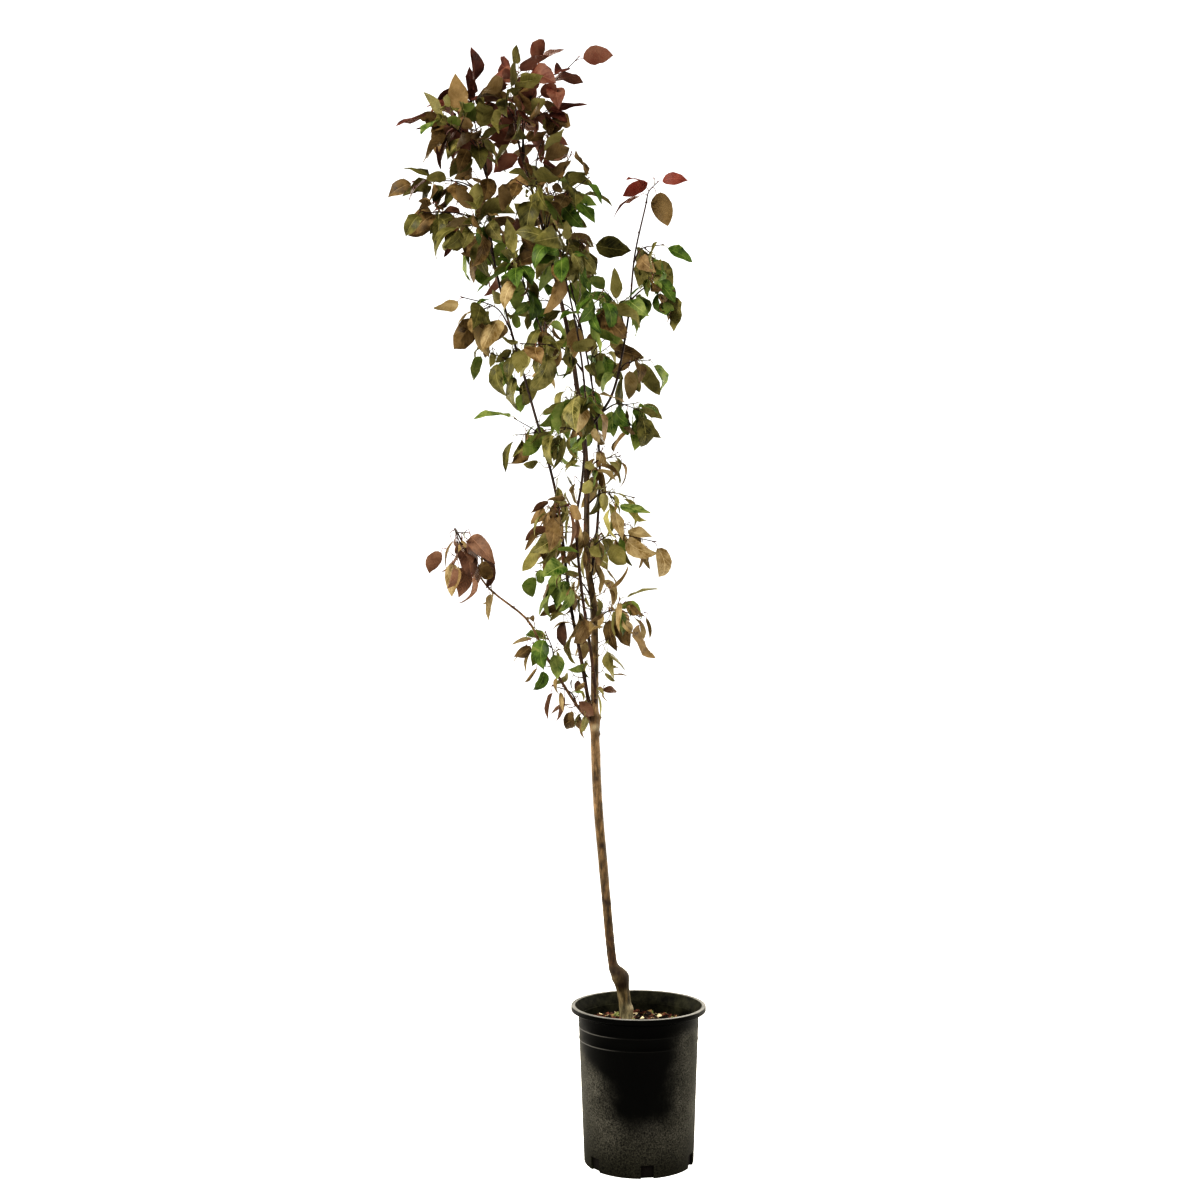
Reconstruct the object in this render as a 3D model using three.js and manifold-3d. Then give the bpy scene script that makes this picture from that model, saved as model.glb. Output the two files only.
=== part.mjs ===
// Potted flowering crabapple, as a library part: a young grafted tree in leaf, in a black nursery pot.
// Millimetres, Z up. The origin is the centre of the pot's flat underside, and the front is -Y.

import * as THREE from 'three';
import { mergeVertices } from 'three/addons/utils/BufferGeometryUtils.js';
import Module from 'manifold-3d';

const wasm = await Module();
wasm.setup();

// Clearances
const GAP = 0.3; // between two pieces that touch
const SMALLEST_EDGE = 0.02; // shorter edges that a join leaves are closed up
const CORNER_GAP = 0.003; // two corners of a solid are never nearer than this
const TRIED_SIZES = [1, 0.96, 0.92]; // of a spur or leaf, until it joins on without such a pair

// Pot
const POT_HEIGHT = 302;
const RIM_RADIUS = 135;
const MOUTH_RADIUS = 126.5;
const LIP_DEPTH = 17; // how far the turned-out lip hangs down
const NECK_RADIUS = 120.5; // of the wall just under the lip
const FOOT_RADIUS = 108.5;
const WALL = 3;
const FLOOR = 4;
const POT_FACETS = 30;
const RIDGE = 0.8; // how far the two rings under the lip stand out
const RIDGE_HEIGHTS = [238, 262];
const NOTCHES = 6;
const NOTCH_WIDTH = 25;
const NOTCH_HEIGHT = 25;
const NOTCH_DEPTH = 14;
const FIRST_NOTCH = 7; // degrees to the right of the front

// Soil
const SOIL_TOP = 266.7;
const SOIL_EDGE_DROP = 5;

// Limbs: the places that each middle line passes through, foot first, and the radius at foot and tip
const LIMBS = {
  trunk: {
    line: [
      [-22, 25, 255], [-27, 25, 300], [-34, 24, 340], [-41, 23, 357], [-51, 21, 378], [-58, 18, 435],
      [-67, 12, 536], [-81, 4, 696], [-88, 0, 866], [-88, 0, 1000], [-90, 0, 1103], [-104, 0, 1210],
      [-106, 0, 1400], [-125, 0, 1560], [-142, 0, 1668], [-172, 0, 1800], [-209, 0, 1944],
      [-251, 0, 2094], [-257, 0, 2190],
    ],
    sides: 8, steps: 30,
  },
  bough_low_left: {
    line: [[-88, 0, 862], [-123, -20, 898], [-184, -60, 996], [-222, -85, 1069], [-300, -115, 1134],
      [-344, -130, 1212]],
    radii: [3.4, 1.5], sides: 5, steps: 11,
  },
  bough_left: {
    line: [[-88, 0, 872], [-101, -9, 912], [-114, -4, 985], [-138, 15, 1106], [-150, 35, 1200],
      [-172, 45, 1354], [-224, 50, 1546], [-282, 45, 1753], [-310, 38, 1890], [-316, 30, 2010],
      [-334, 25, 2095]],
    radii: [4.2, 1.7], sides: 5, steps: 20,
  },
  bough_front: {
    line: [[-88, 0, 895], [-86, -14, 928], [-97, -25, 1015], [-114, -40, 1130], [-125, -60, 1262],
      [-112, -92, 1360], [-105, -125, 1480], [-118, -150, 1610], [-145, -165, 1740]],
    radii: [3.8, 1.6], sides: 5, steps: 16,
  },
  bough_back: {
    line: [[-98, 0, 1150], [-92, 22, 1195], [-82, 60, 1290], [-78, 105, 1420], [-90, 145, 1570],
      [-115, 175, 1720], [-140, 190, 1830]],
    radii: [3.4, 1.6], sides: 5, steps: 13,
  },
  bough_upper_left: {
    line: [[-136, 0, 1615], [-173, -20, 1625], [-196, -50, 1664], [-220, -80, 1722]],
    radii: [2.4, 1.5], sides: 5, steps: 7,
  },
  bough_right: {
    line: [[-110, 0, 1458], [-88, 5, 1490], [-52, 18, 1550], [-30, 28, 1640], [-14, 34, 1745],
      [-3, 30, 1855], [22, 18, 1968]],
    radii: [3.2, 1.5], sides: 5, steps: 13,
  },
};

// Trunk thickness, by height: rootstock, graft bulge, stem, collar under the fork, leader
const STOCK_RADIUS = 12.6;
const STEM_RADIUS = 9.2;
const LEADER_RADIUS = 8.2;
const TRUNK_TOP = 2190;
const TRUNK_TIP_RADIUS = 1.8;
const ROOT_FLARE = 3.2;
const GRAFT_HEIGHT = 350;
const GRAFT_BULGE = 3.4;
const FORK_HEIGHT = 870;
const COLLAR_BULGE = 2.4;

// Foliage masses: name, limb, share of the limb's length, heading and rise in degrees, reach,
// leaves and tint. Heading 0 is to the right, 90 to the back and 270 to the front.
const MASSES = [
  ['foliage_apex', 'trunk', 1, 110, 78, 60, 7, 'burgundy'],
  ['foliage_left_leader_tip', 'bough_left', 1, 230, 80, 120, 13, 'burgundy'],
  ['foliage_far_left_high', 'bough_left', 0.946, 205, 34, 150, 9, 'burgundy'],
  ['foliage_far_left_middle', 'bough_left', 0.855, 180, 20, 172, 11, 'brown'],
  ['foliage_far_left_low', 'bough_left', 0.801, 210, 10, 165, 11, 'brown'],
  ['foliage_left_crown_front', 'bough_left', 0.91, 235, 25, 180, 14, 'olive'],
  ['foliage_left_crown_back', 'bough_left', 0.921, 120, 45, 250, 12, 'burgundy'],
  ['foliage_left_belly_front', 'bough_left', 0.78, 250, 0, 160, 13, 'olive'],
  ['foliage_left_belly_back', 'bough_left', 0.763, 125, 30, 210, 11, 'green'],
  ['foliage_crown_front', 'trunk', 0.936, 255, 25, 135, 12, 'brown'],
  ['foliage_crown_back', 'trunk', 0.928, 95, 50, 255, 12, 'burgundy'],
  ['foliage_top_right_shoot', 'trunk', 0.924, 340, 60, 245, 13, 'burgundy'],
  ['foliage_middle_shoot', 'trunk', 0.89, 80, 70, 210, 7, 'brown'],
  ['foliage_right_shoot', 'trunk', 0.851, 310, 70, 210, 9, 'brown'],
  ['foliage_upper_front', 'trunk', 0.876, 255, 10, 170, 12, 'olive'],
  ['foliage_upper_back', 'trunk', 0.867, 95, 40, 245, 12, 'brown'],
  ['foliage_upper_right', 'trunk', 0.866, 325, 42, 150, 9, 'green'],
  ['foliage_upper_right_back', 'trunk', 0.821, 70, 45, 240, 11, 'olive'],
  ['foliage_upper_left', 'trunk', 0.842, 145, 35, 135, 10, 'brown'],
  ['foliage_left_pendant_high', 'bough_left', 0.671, 210, 25, 125, 7, 'tan'],
  ['foliage_left_pendant_middle', 'bough_left', 0.605, 165, 45, 150, 8, 'green'],
  ['foliage_left_pendant_low', 'bough_left', 0.54, 205, 45, 100, 5, 'olive'],
  ['foliage_upper_left_tip', 'bough_upper_left', 1, 250, 40, 85, 11, 'green'],
  ['foliage_upper_left_side', 'bough_upper_left', 0.626, 275, -10, 120, 7, 'olive'],
  ['foliage_front_tip', 'bough_front', 1, 250, 60, 75, 11, 'green'],
  ['foliage_front_right', 'bough_front', 0.9, 320, 40, 85, 9, 'green'],
  ['foliage_front_left', 'bough_front', 0.826, 210, 15, 140, 9, 'olive'],
  ['foliage_front_middle', 'bough_front', 0.724, 260, 25, 110, 9, 'green'],
  ['foliage_front_waist', 'bough_front', 0.512, 255, 5, 110, 9, 'brown'],
  ['foliage_back_tip', 'bough_back', 1, 125, 70, 155, 11, 'olive'],
  ['foliage_back_left', 'bough_back', 0.85, 155, 35, 160, 10, 'green'],
  ['foliage_back_right', 'bough_back', 0.714, 55, 60, 140, 10, 'olive'],
  ['foliage_back_middle', 'bough_back', 0.535, 130, 50, 180, 9, 'green'],
  ['foliage_right_tip', 'bough_right', 1, 350, 60, 45, 4, 'red'],
  ['foliage_right_high', 'bough_right', 0.811, 20, 35, 80, 6, 'olive'],
  ['foliage_right_outer', 'bough_right', 0.687, 325, 0, 108, 9, 'green'],
  ['foliage_right_inner', 'bough_right', 0.568, 245, 30, 130, 9, 'green'],
  ['foliage_right_low', 'bough_right', 0.377, 45, 35, 130, 9, 'olive'],
  ['foliage_right_droop', 'bough_right', 0.234, 335, -5, 92, 9, 'green'],
  ['foliage_middle_left', 'trunk', 0.683, 195, 10, 85, 9, 'green'],
  ['foliage_middle_right', 'trunk', 0.656, 40, 35, 110, 9, 'tan'],
  ['foliage_waist_right_high', 'trunk', 0.642, 335, 5, 105, 7, 'yellow'],
  ['foliage_waist_right_tip', 'trunk', 0.613, 10, 10, 145, 8, 'tan'],
  ['foliage_waist_left', 'trunk', 0.624, 170, 0, 105, 9, 'brown'],
  ['foliage_waist_back', 'trunk', 0.607, 80, 20, 150, 9, 'olive'],
  ['foliage_low_left_inner', 'trunk', 0.563, 195, 25, 130, 7, 'green'],
  ['foliage_low_right', 'trunk', 0.538, 335, 5, 100, 9, 'tan'],
  ['foliage_low_left_tuft', 'bough_low_left', 1, 290, -45, 84, 10, 'maroon'],
  ['foliage_low_left_sprig', 'bough_low_left', 0.355, 250, 60, 80, 7, 'green'],
  ['foliage_fork_tuft', 'bough_low_left', 0.201, 215, 35, 70, 5, 'maroon'],
];

// Twigs and leaves
const STEM_LIFT = 25; // degrees that a stem starts above the line to its tip
const STEM_STEPS = 3; // straight stretches that a stem is made of
const STEM_RADII = [1.7, 0.9];
const SPUR_RADII = [1.2, 0.8];
const SPUR_LENGTH = 34;
const LEAVES_ON_A_SPUR = 3;
const LEAVES_PER_SPUR = 5; // a mass has a spur for each so many leaves
const GOLDEN_ANGLE = 137.5;
const LEAF_LENGTH = 88; // stalk and blade
const LEAF_HALF_WIDTH = 0.215; // shares of the leaf's length
const LEAF_WIDEST = 0.56;
const LEAF_THICKNESS = 2.4;
const LEAF_FOLD = 0.35; // how far the edges rise above the midrib, as a share of the half width
const LEAF_CURL = 0.08; // how far the tip bends down, as a share of the length
const LEAF_TRIES = 6;
const HANG_TOP = 0.25; // share of a leaf's direction that is straight down, at the crown's top
const HANG_LOW = 0.62; // and from HANG_LOW_HEIGHT down
const HANG_TOP_HEIGHT = 2200;
const HANG_LOW_HEIGHT = 1500;

// Room that each thing keeps round the points that stand for it
const LEAF_ROOM = 5.5;
const OWN_LEAF_ROOM = 5;
const TWIG_ROOM = 4.5;
const LIMB_ROOM = 3;
const ROOM_STEP = 9; // distance between two such points along a limb or twig

const COLOURS = {
  pot: 0x1d1c19, soil: 0x3b2a20, bark: 0x7d6650, shoot: 0x4a3024,
  burgundy: 0x5f2a26, brown: 0x6a5636, olive: 0x5c5a2c, green: 0x35602f, tan: 0x9a8560,
  yellow: 0xa89a5c, red: 0xa04448, maroon: 0x6b4038,
};

// Vectors as plain arrays
const add = (a, b, s = 1) => a.map((v, i) => v + s * b[i]);
const scale = (a, s) => a.map((v) => v * s);
const dot = (a, b) => a[0] * b[0] + a[1] * b[1] + a[2] * b[2];
const cross = (a, b) => [
  a[1] * b[2] - a[2] * b[1], a[2] * b[0] - a[0] * b[2], a[0] * b[1] - a[1] * b[0],
];
const length = (a) => Math.sqrt(dot(a, a));
const unit = (a) => scale(a, 1 / length(a));
const radians = (degrees) => (degrees * Math.PI) / 180;
const mix = (a, b, t) => a + (b - a) * t;
const clamp = (v) => Math.min(1, Math.max(0, v));
const UP = [0, 0, 1];

// A direction from its heading in plan and its rise above level
function direction(heading, rise) {
  const level = Math.cos(radians(rise));
  return [level * Math.cos(radians(heading)), level * Math.sin(radians(heading)), Math.sin(radians(rise))];
}

// Repeatable numbers from 0 to 1: each seed gives its own run of them
function dice(seed) {
  let state = (seed * 7919 + 12345) % 2147483647;
  const roll = () => {
    state = (state * 16807) % 2147483647;
    return state / 2147483647;
  };
  roll();
  roll();
  return roll;
}

// The point of a smooth line through places, at t from 0 to 1
function along(line, t) {
  const last = line.length - 1;
  const whole = Math.min(Math.floor(last * t), last - 1);
  const w = last * t - whole;
  const before = whole > 0 ? line[whole - 1] : add(scale(line[0], 2), line[1], -1);
  const after = whole + 2 <= last ? line[whole + 2] : add(scale(line[last], 2), line[last - 1], -1);
  return line[whole].map((start, i) => {
    const end = line[whole + 1][i];
    const leave = (end - before[i]) / 2;
    const arrive = (after[i] - start) / 2;
    const cubic = 2 * start - 2 * end + leave + arrive;
    const square = -3 * start + 3 * end - 2 * leave - arrive;
    return start + w * (leave + w * (square + w * cubic));
  });
}

function tangent(line, t) {
  return unit(add(along(line, Math.min(1, t + 0.01)), along(line, Math.max(0, t - 0.01)), -1));
}

// The point at t on the straight stretches that stand for a line
function onStretches(line, t) {
  const whole = Math.min(Math.floor(STEM_STEPS * t), STEM_STEPS - 1);
  const start = along(line, whole / STEM_STEPS);
  const end = along(line, (whole + 1) / STEM_STEPS);
  return add(start, add(end, start, -1), STEM_STEPS * t - whole);
}

// A hump of height 1 at the middle
const hump = (x, middle, width) => Math.exp(-(((x - middle) / width) ** 2));

function trunkRadius(z) {
  const stock = clamp((GRAFT_HEIGHT + 28 - z) / 24);
  const leader = clamp((z - FORK_HEIGHT) / 24);
  const tipward = clamp((z - FORK_HEIGHT) / (TRUNK_TOP - FORK_HEIGHT));
  const stem = mix(STEM_RADIUS, mix(LEADER_RADIUS, TRUNK_TIP_RADIUS, tipward), leader);
  return mix(stem, STOCK_RADIUS, stock)
    + ROOT_FLARE * Math.exp(-(z - SOIL_TOP) / 14)
    + GRAFT_BULGE * hump(z, GRAFT_HEIGHT, 15)
    + COLLAR_BULGE * hump(z, FORK_HEIGHT, 16);
}

function limbRadius(name, t) {
  const limb = LIMBS[name];
  return limb.radii ? mix(...limb.radii, t) : trunkRadius(along(limb.line, t)[2]);
}

// A mass's stem, as three places: it leaves its limb steeply and bows over to its tip
function stemLine([, limbName, share, heading, rise, reach]) {
  const { line } = LIMBS[limbName];
  const way = share === 1 ? tangent(line, 1) : direction(heading, rise + STEM_LIFT);
  const foot = share === 1 ? add(along(line, 1), way, GAP) : along(line, share);
  const tip = add(foot, direction(heading, rise), reach);
  return [foot, add(foot, way, reach * 0.45), tip];
}

// Two directions square to a way
function square(way) {
  const first = unit(cross(way, Math.abs(way[2]) > 0.9 ? [1, 0, 0] : UP));
  return [first, cross(way, first)];
}

// Outward direction round a line at a turn in degrees
function outward(way, turn) {
  const [first, second] = square(way);
  return add(scale(first, Math.cos(radians(turn))), second, Math.sin(radians(turn)));
}

// A mass's spurs: short side twigs, spread along the stem, that carry the last of its leaves
function spurLines(mass, index, stem) {
  const count = Math.floor(mass[6] / LEAVES_PER_SPUR);
  const spurs = [];
  for (let i = 0; i < count; i++) {
    const roll = dice(1000 * (index + 1) + 500 + i);
    const share = mix(0.3, 0.85, (i + 0.5) / count);
    const foot = onStretches(stem, share);
    const way = tangent(stem, share);
    const out = outward(way, GOLDEN_ANGLE * i + 360 * roll());
    const aim = unit(add(add(scale(way, 0.6), out), UP, 0.25));
    const reach = SPUR_LENGTH * mix(0.7, 1.3, roll());
    spurs.push([foot, add(foot, aim, reach)]);
  }
  return spurs;
}

// Where a leaf lies: foot, way to the tip, side, face, length
function leafFrame(line, share, turn, isTip, hang, roll) {
  const foot = onStretches(line, share);
  const way = tangent(line, share);
  const out = outward(way, turn);
  const start = isTip ? unit(add(way, out, 0.35)) : unit(add(out, way, 0.45));
  const down = clamp(hang * mix(0.55, 1.45, roll()));
  const aim = unit(add(scale(start, 1 - down), UP, -down));
  const upper = unit(add(scale(out, 0.65), UP, 0.75));
  const flat = unit(cross(aim, upper));
  const lean = radians(mix(-40, 40, roll()));
  const side = add(scale(flat, Math.cos(lean)), cross(aim, flat), Math.sin(lean));
  const size = LEAF_LENGTH * mix(0.72, 1.18, roll());
  return { foot, aim, side, face: cross(side, aim), size };
}

// The points that stand for a leaf when room is looked for: five along it, three across
function leafPoints({ foot, aim, side, size }) {
  const points = [];
  for (const share of [0.2, 0.4, 0.6, 0.8, 1]) {
    const half = 0.75 * size * LEAF_HALF_WIDTH * Math.max(0, 1 - Math.abs(share - LEAF_WIDEST) * 2);
    for (const across of [-1, 0, 1]) {
      points.push(add(add(foot, aim, share * size), side, across * half));
    }
  }
  return points;
}

// The points that stand for a line, each with the room it takes
function linePoints(line, room) {
  let reach = 0;
  for (let i = 1; i <= 20; i++) reach += length(add(along(line, i / 20), along(line, (i - 1) / 20), -1));
  const count = Math.ceil(reach / ROOM_STEP);
  return Array.from({ length: count + 1 }, (_, i) => [along(line, i / count), room(i / count)]);
}

// Everything placed so far: point, room, owner
const taken = [];
const take = (points, owner) => points.forEach(([point, room]) => taken.push({ point, room, owner }));

function isFree(points, room, owner, ownRoom) {
  for (const other of taken) {
    const own = other.owner === owner;
    if (own && other.room !== LEAF_ROOM) continue;
    const least = own ? 2 * ownRoom : room + other.room;
    for (const p of points) {
      const dx = p[0] - other.point[0];
      const dy = p[1] - other.point[1];
      const dz = p[2] - other.point[2];
      if (dx * dx + dy * dy + dz * dz < least * least) return false;
    }
  }
  return true;
}

// The share of hanging at a height
const hangAt = (z) => mix(HANG_LOW, HANG_TOP, clamp((z - HANG_LOW_HEIGHT) / (HANG_TOP_HEIGHT - HANG_LOW_HEIGHT)));

// Stems first, then spurs, then leaves: what finds no room is left out
function layOut() {
  for (const name of Object.keys(LIMBS)) {
    take(linePoints(LIMBS[name].line, (t) => limbRadius(name, t) + LIMB_ROOM), name);
  }
  const plans = MASSES.map((mass, index) => ({ mass, index, stem: stemLine(mass), spurs: [], leaves: [] }));
  for (const { index, stem } of plans) take(linePoints(stem, () => TWIG_ROOM), index);
  for (const plan of plans) {
    for (const spur of spurLines(plan.mass, plan.index, plan.stem)) {
      const points = linePoints(spur, () => TWIG_ROOM);
      if (!isFree(points.map(([p]) => p), TWIG_ROOM, plan.index, 0)) continue;
      take(points, plan.index);
      plan.spurs.push(spur);
    }
  }
  plans.forEach(placeLeaves);
  return plans;
}

// A mass's leaves: a few round the end of each spur, the rest along the outer part of the stem
function placeLeaves(plan) {
  const wanted = plan.mass[6];
  const onSpurs = plan.spurs.length * LEAVES_ON_A_SPUR;
  for (let i = 0; i < wanted; i++) {
    const spur = i < onSpurs ? plan.spurs[Math.floor(i / LEAVES_ON_A_SPUR)] : null;
    const line = spur ?? plan.stem;
    const place = spur ? i % LEAVES_ON_A_SPUR : i - onSpurs;
    const rest = Math.max(1, wanted - onSpurs - 1);
    const share = spur ? mix(0.6, 0.97, place / (LEAVES_ON_A_SPUR - 1)) : mix(0.97, 0.3, place / rest);
    const isTip = place === (spur ? LEAVES_ON_A_SPUR - 1 : 0);
    for (let attempt = 0; attempt < LEAF_TRIES; attempt++) {
      const roll = dice(1000 * (plan.index + 1) + 8 * i + attempt);
      const turn = GOLDEN_ANGLE * i + 80 * attempt + 40 * roll();
      const leaf = leafFrame(line, share, turn, isTip, hangAt(line[1][2]), roll);
      const points = leafPoints(leaf);
      if (!isFree(points, LEAF_ROOM, plan.index, OWN_LEAF_ROOM)) continue;
      take(points.map((p) => [p, LEAF_ROOM]), plan.index);
      plan.leaves.push(leaf);
      break;
    }
  }
}

// A geometry's closed solid
function solid(geometry) {
  const bare = geometry.clone();
  bare.deleteAttribute('normal');
  bare.deleteAttribute('uv');
  const merged = mergeVertices(bare, 1e-4);
  return new wasm.Manifold(new wasm.Mesh({
    numProp: 3,
    vertProperties: new Float32Array(merged.attributes.position.array),
    triVerts: new Uint32Array(merged.index.array),
  }));
}

function meshFrom(name, shape, colour, roughness) {
  const { vertProperties, triVerts } = shape.getMesh();
  const geometry = new THREE.BufferGeometry();
  geometry.setAttribute('position', new THREE.BufferAttribute(vertProperties, 3));
  geometry.setIndex(new THREE.BufferAttribute(triVerts, 1));
  geometry.computeVertexNormals();
  const material = new THREE.MeshStandardMaterial({ color: colour, roughness, metalness: 0 });
  const mesh = new THREE.Mesh(geometry, material);
  mesh.name = name;
  return mesh;
}

// A round tapering limb: a cylinder bent along a line, its ends square to it
function limbSolid(line, radius, sides, steps) {
  const geometry = new THREE.CylinderGeometry(1, 1, 1, sides, steps);
  const position = geometry.attributes.position;
  const frames = [];
  let side = square(tangent(line, 0))[0];
  for (let i = 0; i <= steps; i++) {
    const way = tangent(line, i / steps);
    side = unit(add(side, way, -dot(side, way)));
    frames.push({ middle: along(line, i / steps), side, other: cross(way, side) });
  }
  for (let i = 0; i < position.count; i++) {
    const step = Math.round((position.getY(i) + 0.5) * steps);
    const { middle, side: first, other } = frames[step];
    const r = radius(step / steps);
    const place = add(add(middle, first, position.getX(i) * r), other, -position.getZ(i) * r);
    position.setXYZ(i, ...place);
  }
  return solid(geometry);
}

// A leaf of eight faces: foot, tip, two edges and the upper and lower middle of an octahedron
function leafSolid({ foot, aim, side, face, size }) {
  const geometry = new THREE.OctahedronGeometry(1);
  const position = geometry.attributes.position;
  const half = size * LEAF_HALF_WIDTH;
  for (let i = 0; i < position.count; i++) {
    const [x, y, z] = [position.getX(i), position.getY(i), position.getZ(i)];
    const forward = size * (y > 0.5 ? 1 : y < -0.5 ? 0 : LEAF_WIDEST);
    const rise = Math.abs(x) * half * LEAF_FOLD + z * LEAF_THICKNESS / 2 - (y > 0.5 ? size * LEAF_CURL : 0);
    const place = add(add(add(foot, aim, forward), side, x * half), face, rise);
    position.setXYZ(i, ...place);
  }
  return solid(geometry);
}

function limbShape(name) {
  const { line, sides, steps } = LIMBS[name];
  return limbSolid(line, (t) => limbRadius(name, t), sides, steps);
}

// The room that a limb keeps from what grows on it
function limbClearance(name) {
  const { line, sides, steps } = LIMBS[name];
  const grow = GAP / Math.cos(Math.PI / sides);
  return limbSolid(line, (t) => limbRadius(name, t) + grow, sides, steps);
}

// The trunk is cut level just over the soil. A bough starts on the trunk's surface, so the part of
// it inside the trunk is cut away.
function makeLimb(name, clearances) {
  const ground = new THREE.BoxGeometry(100, 100, 100).translate(0, 0, SOIL_TOP + GAP - 50);
  const cut = name === 'trunk' ? solid(ground) : clearances.trunk;
  return meshFrom(name, largest(limbShape(name).subtract(cut)), COLOURS.bark, 0.85);
}

function largest(shape) {
  const pieces = shape.decompose();
  return pieces.reduce((best, piece) => (piece.volume() > best.volume() ? piece : best));
}

// Whether two corners of a solid nearly meet
function hasTightCorners(shape) {
  const { vertProperties: v } = shape.getMesh();
  for (let i = 0; i < v.length; i += 3) {
    for (let j = 0; j < i; j += 3) {
      const apart = Math.abs(v[i] - v[j]) + Math.abs(v[i + 1] - v[j + 1]) + Math.abs(v[i + 2] - v[j + 2]);
      if (apart < CORNER_GAP) return true;
    }
  }
  return false;
}

// A solid with one more piece joined on, if a size of it leaves no tight corners
function joinOn(shape, pieceOfSize) {
  const joined = TRIED_SIZES.map((size) => shape.add(pieceOfSize(size)).simplify(SMALLEST_EDGE));
  return joined.find((whole) => !hasTightCorners(whole)) ?? shape;
}

function makeMass({ mass, stem, spurs, leaves }, clearances) {
  const [name, limbName, share, , , , , tint] = mass;
  let shape = limbSolid(stem, (t) => mix(...STEM_RADII, t), 3, STEM_STEPS);
  if (share < 1) shape = shape.subtract(clearances[limbName]);
  for (const spur of spurs) {
    shape = joinOn(shape, (size) => limbSolid(spur, (t) => size * mix(...SPUR_RADII, t), 3, 1));
  }
  for (const leaf of leaves) {
    shape = joinOn(shape, (size) => leafSolid({ ...leaf, size: size * leaf.size }));
  }
  return meshFrom(name, largest(shape), COLOURS[tint], 0.6);
}

// A turned shape from its outline of radius and height, closed on itself
function turned(outline) {
  const closed = [...outline, outline[0]].map(([r, z]) => new THREE.Vector2(r, z));
  return solid(new THREE.LatheGeometry(closed, POT_FACETS).rotateX(Math.PI / 2));
}

// The pot's outer radius at a height, under its lip
const potRadius = (z) => mix(FOOT_RADIUS, NECK_RADIUS, z / (POT_HEIGHT - LIP_DEPTH));

function makePot() {
  const neck = POT_HEIGHT - LIP_DEPTH;
  const ridges = RIDGE_HEIGHTS.flatMap((z) => [
    [potRadius(z - 2), z - 2], [potRadius(z) + RIDGE, z], [potRadius(z + 2), z + 2],
  ]);
  const body = turned([
    [0, 0], [FOOT_RADIUS - 2, 0], [FOOT_RADIUS, 2], ...ridges, [NECK_RADIUS, neck],
    [RIM_RADIUS - 2, neck + 6], [RIM_RADIUS, POT_HEIGHT - 7], [RIM_RADIUS - 3, POT_HEIGHT],
    [MOUTH_RADIUS, POT_HEIGHT], [NECK_RADIUS - WALL, neck - 4], [FOOT_RADIUS - WALL, FLOOR], [0, FLOOR],
  ]);
  let pot = body;
  for (let i = 0; i < NOTCHES; i++) {
    const notch = new THREE.BoxGeometry(NOTCH_DEPTH, NOTCH_WIDTH, 2 * NOTCH_HEIGHT);
    notch.translate(FOOT_RADIUS, 0, 0);
    notch.rotateZ(radians(FIRST_NOTCH - 90 + (360 / NOTCHES) * i));
    pot = pot.subtract(solid(notch));
  }
  return meshFrom('pot', pot, COLOURS.pot, 0.55);
}

function makeSoil() {
  const wallAt = (z) => mix(FOOT_RADIUS, NECK_RADIUS, (z - FLOOR) / (POT_HEIGHT - LIP_DEPTH - 4 - FLOOR)) - WALL;
  const edge = SOIL_TOP - SOIL_EDGE_DROP;
  const clear = GAP + 0.1;
  const shape = turned([
    [0, FLOOR + GAP], [wallAt(FLOOR) - clear, FLOOR + GAP], [wallAt(edge) - clear, edge],
    [wallAt(edge) - 22, SOIL_TOP], [0, SOIL_TOP],
  ]);
  return meshFrom('soil', shape, COLOURS.soil, 0.95);
}

const tree = new THREE.Group();
const clearances = Object.fromEntries(Object.keys(LIMBS).map((name) => [name, limbClearance(name)]));
tree.add(makePot(), makeSoil());
for (const name of Object.keys(LIMBS)) tree.add(makeLimb(name, clearances));
for (const plan of layOut()) tree.add(makeMass(plan, clearances));

export default tree;
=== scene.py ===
# Potted flowering crabapple: a young grafted tree in leaf, in its black nursery pot, dressed on the packed
# model. Sizes are in millimetres, and MM brings them to the frame's metres.

import math

import bpy
import numpy as np
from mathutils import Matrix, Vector, noise


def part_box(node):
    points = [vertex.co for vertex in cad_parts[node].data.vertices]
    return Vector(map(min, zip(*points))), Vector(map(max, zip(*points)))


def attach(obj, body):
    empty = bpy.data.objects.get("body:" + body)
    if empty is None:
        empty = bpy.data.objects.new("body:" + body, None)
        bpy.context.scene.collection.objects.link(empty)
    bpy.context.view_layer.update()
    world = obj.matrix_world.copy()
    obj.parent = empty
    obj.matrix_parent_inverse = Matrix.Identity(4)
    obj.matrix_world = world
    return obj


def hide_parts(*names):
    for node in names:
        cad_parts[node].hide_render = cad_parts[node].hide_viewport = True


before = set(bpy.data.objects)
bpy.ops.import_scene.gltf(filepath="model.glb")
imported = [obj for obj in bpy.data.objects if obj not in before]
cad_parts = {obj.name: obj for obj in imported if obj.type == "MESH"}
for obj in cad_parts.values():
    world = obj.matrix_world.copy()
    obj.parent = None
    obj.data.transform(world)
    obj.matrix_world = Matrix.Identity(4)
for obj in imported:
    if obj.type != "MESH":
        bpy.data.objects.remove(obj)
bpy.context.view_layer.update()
bpy.ops.object.select_all(action="DESELECT")


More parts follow.
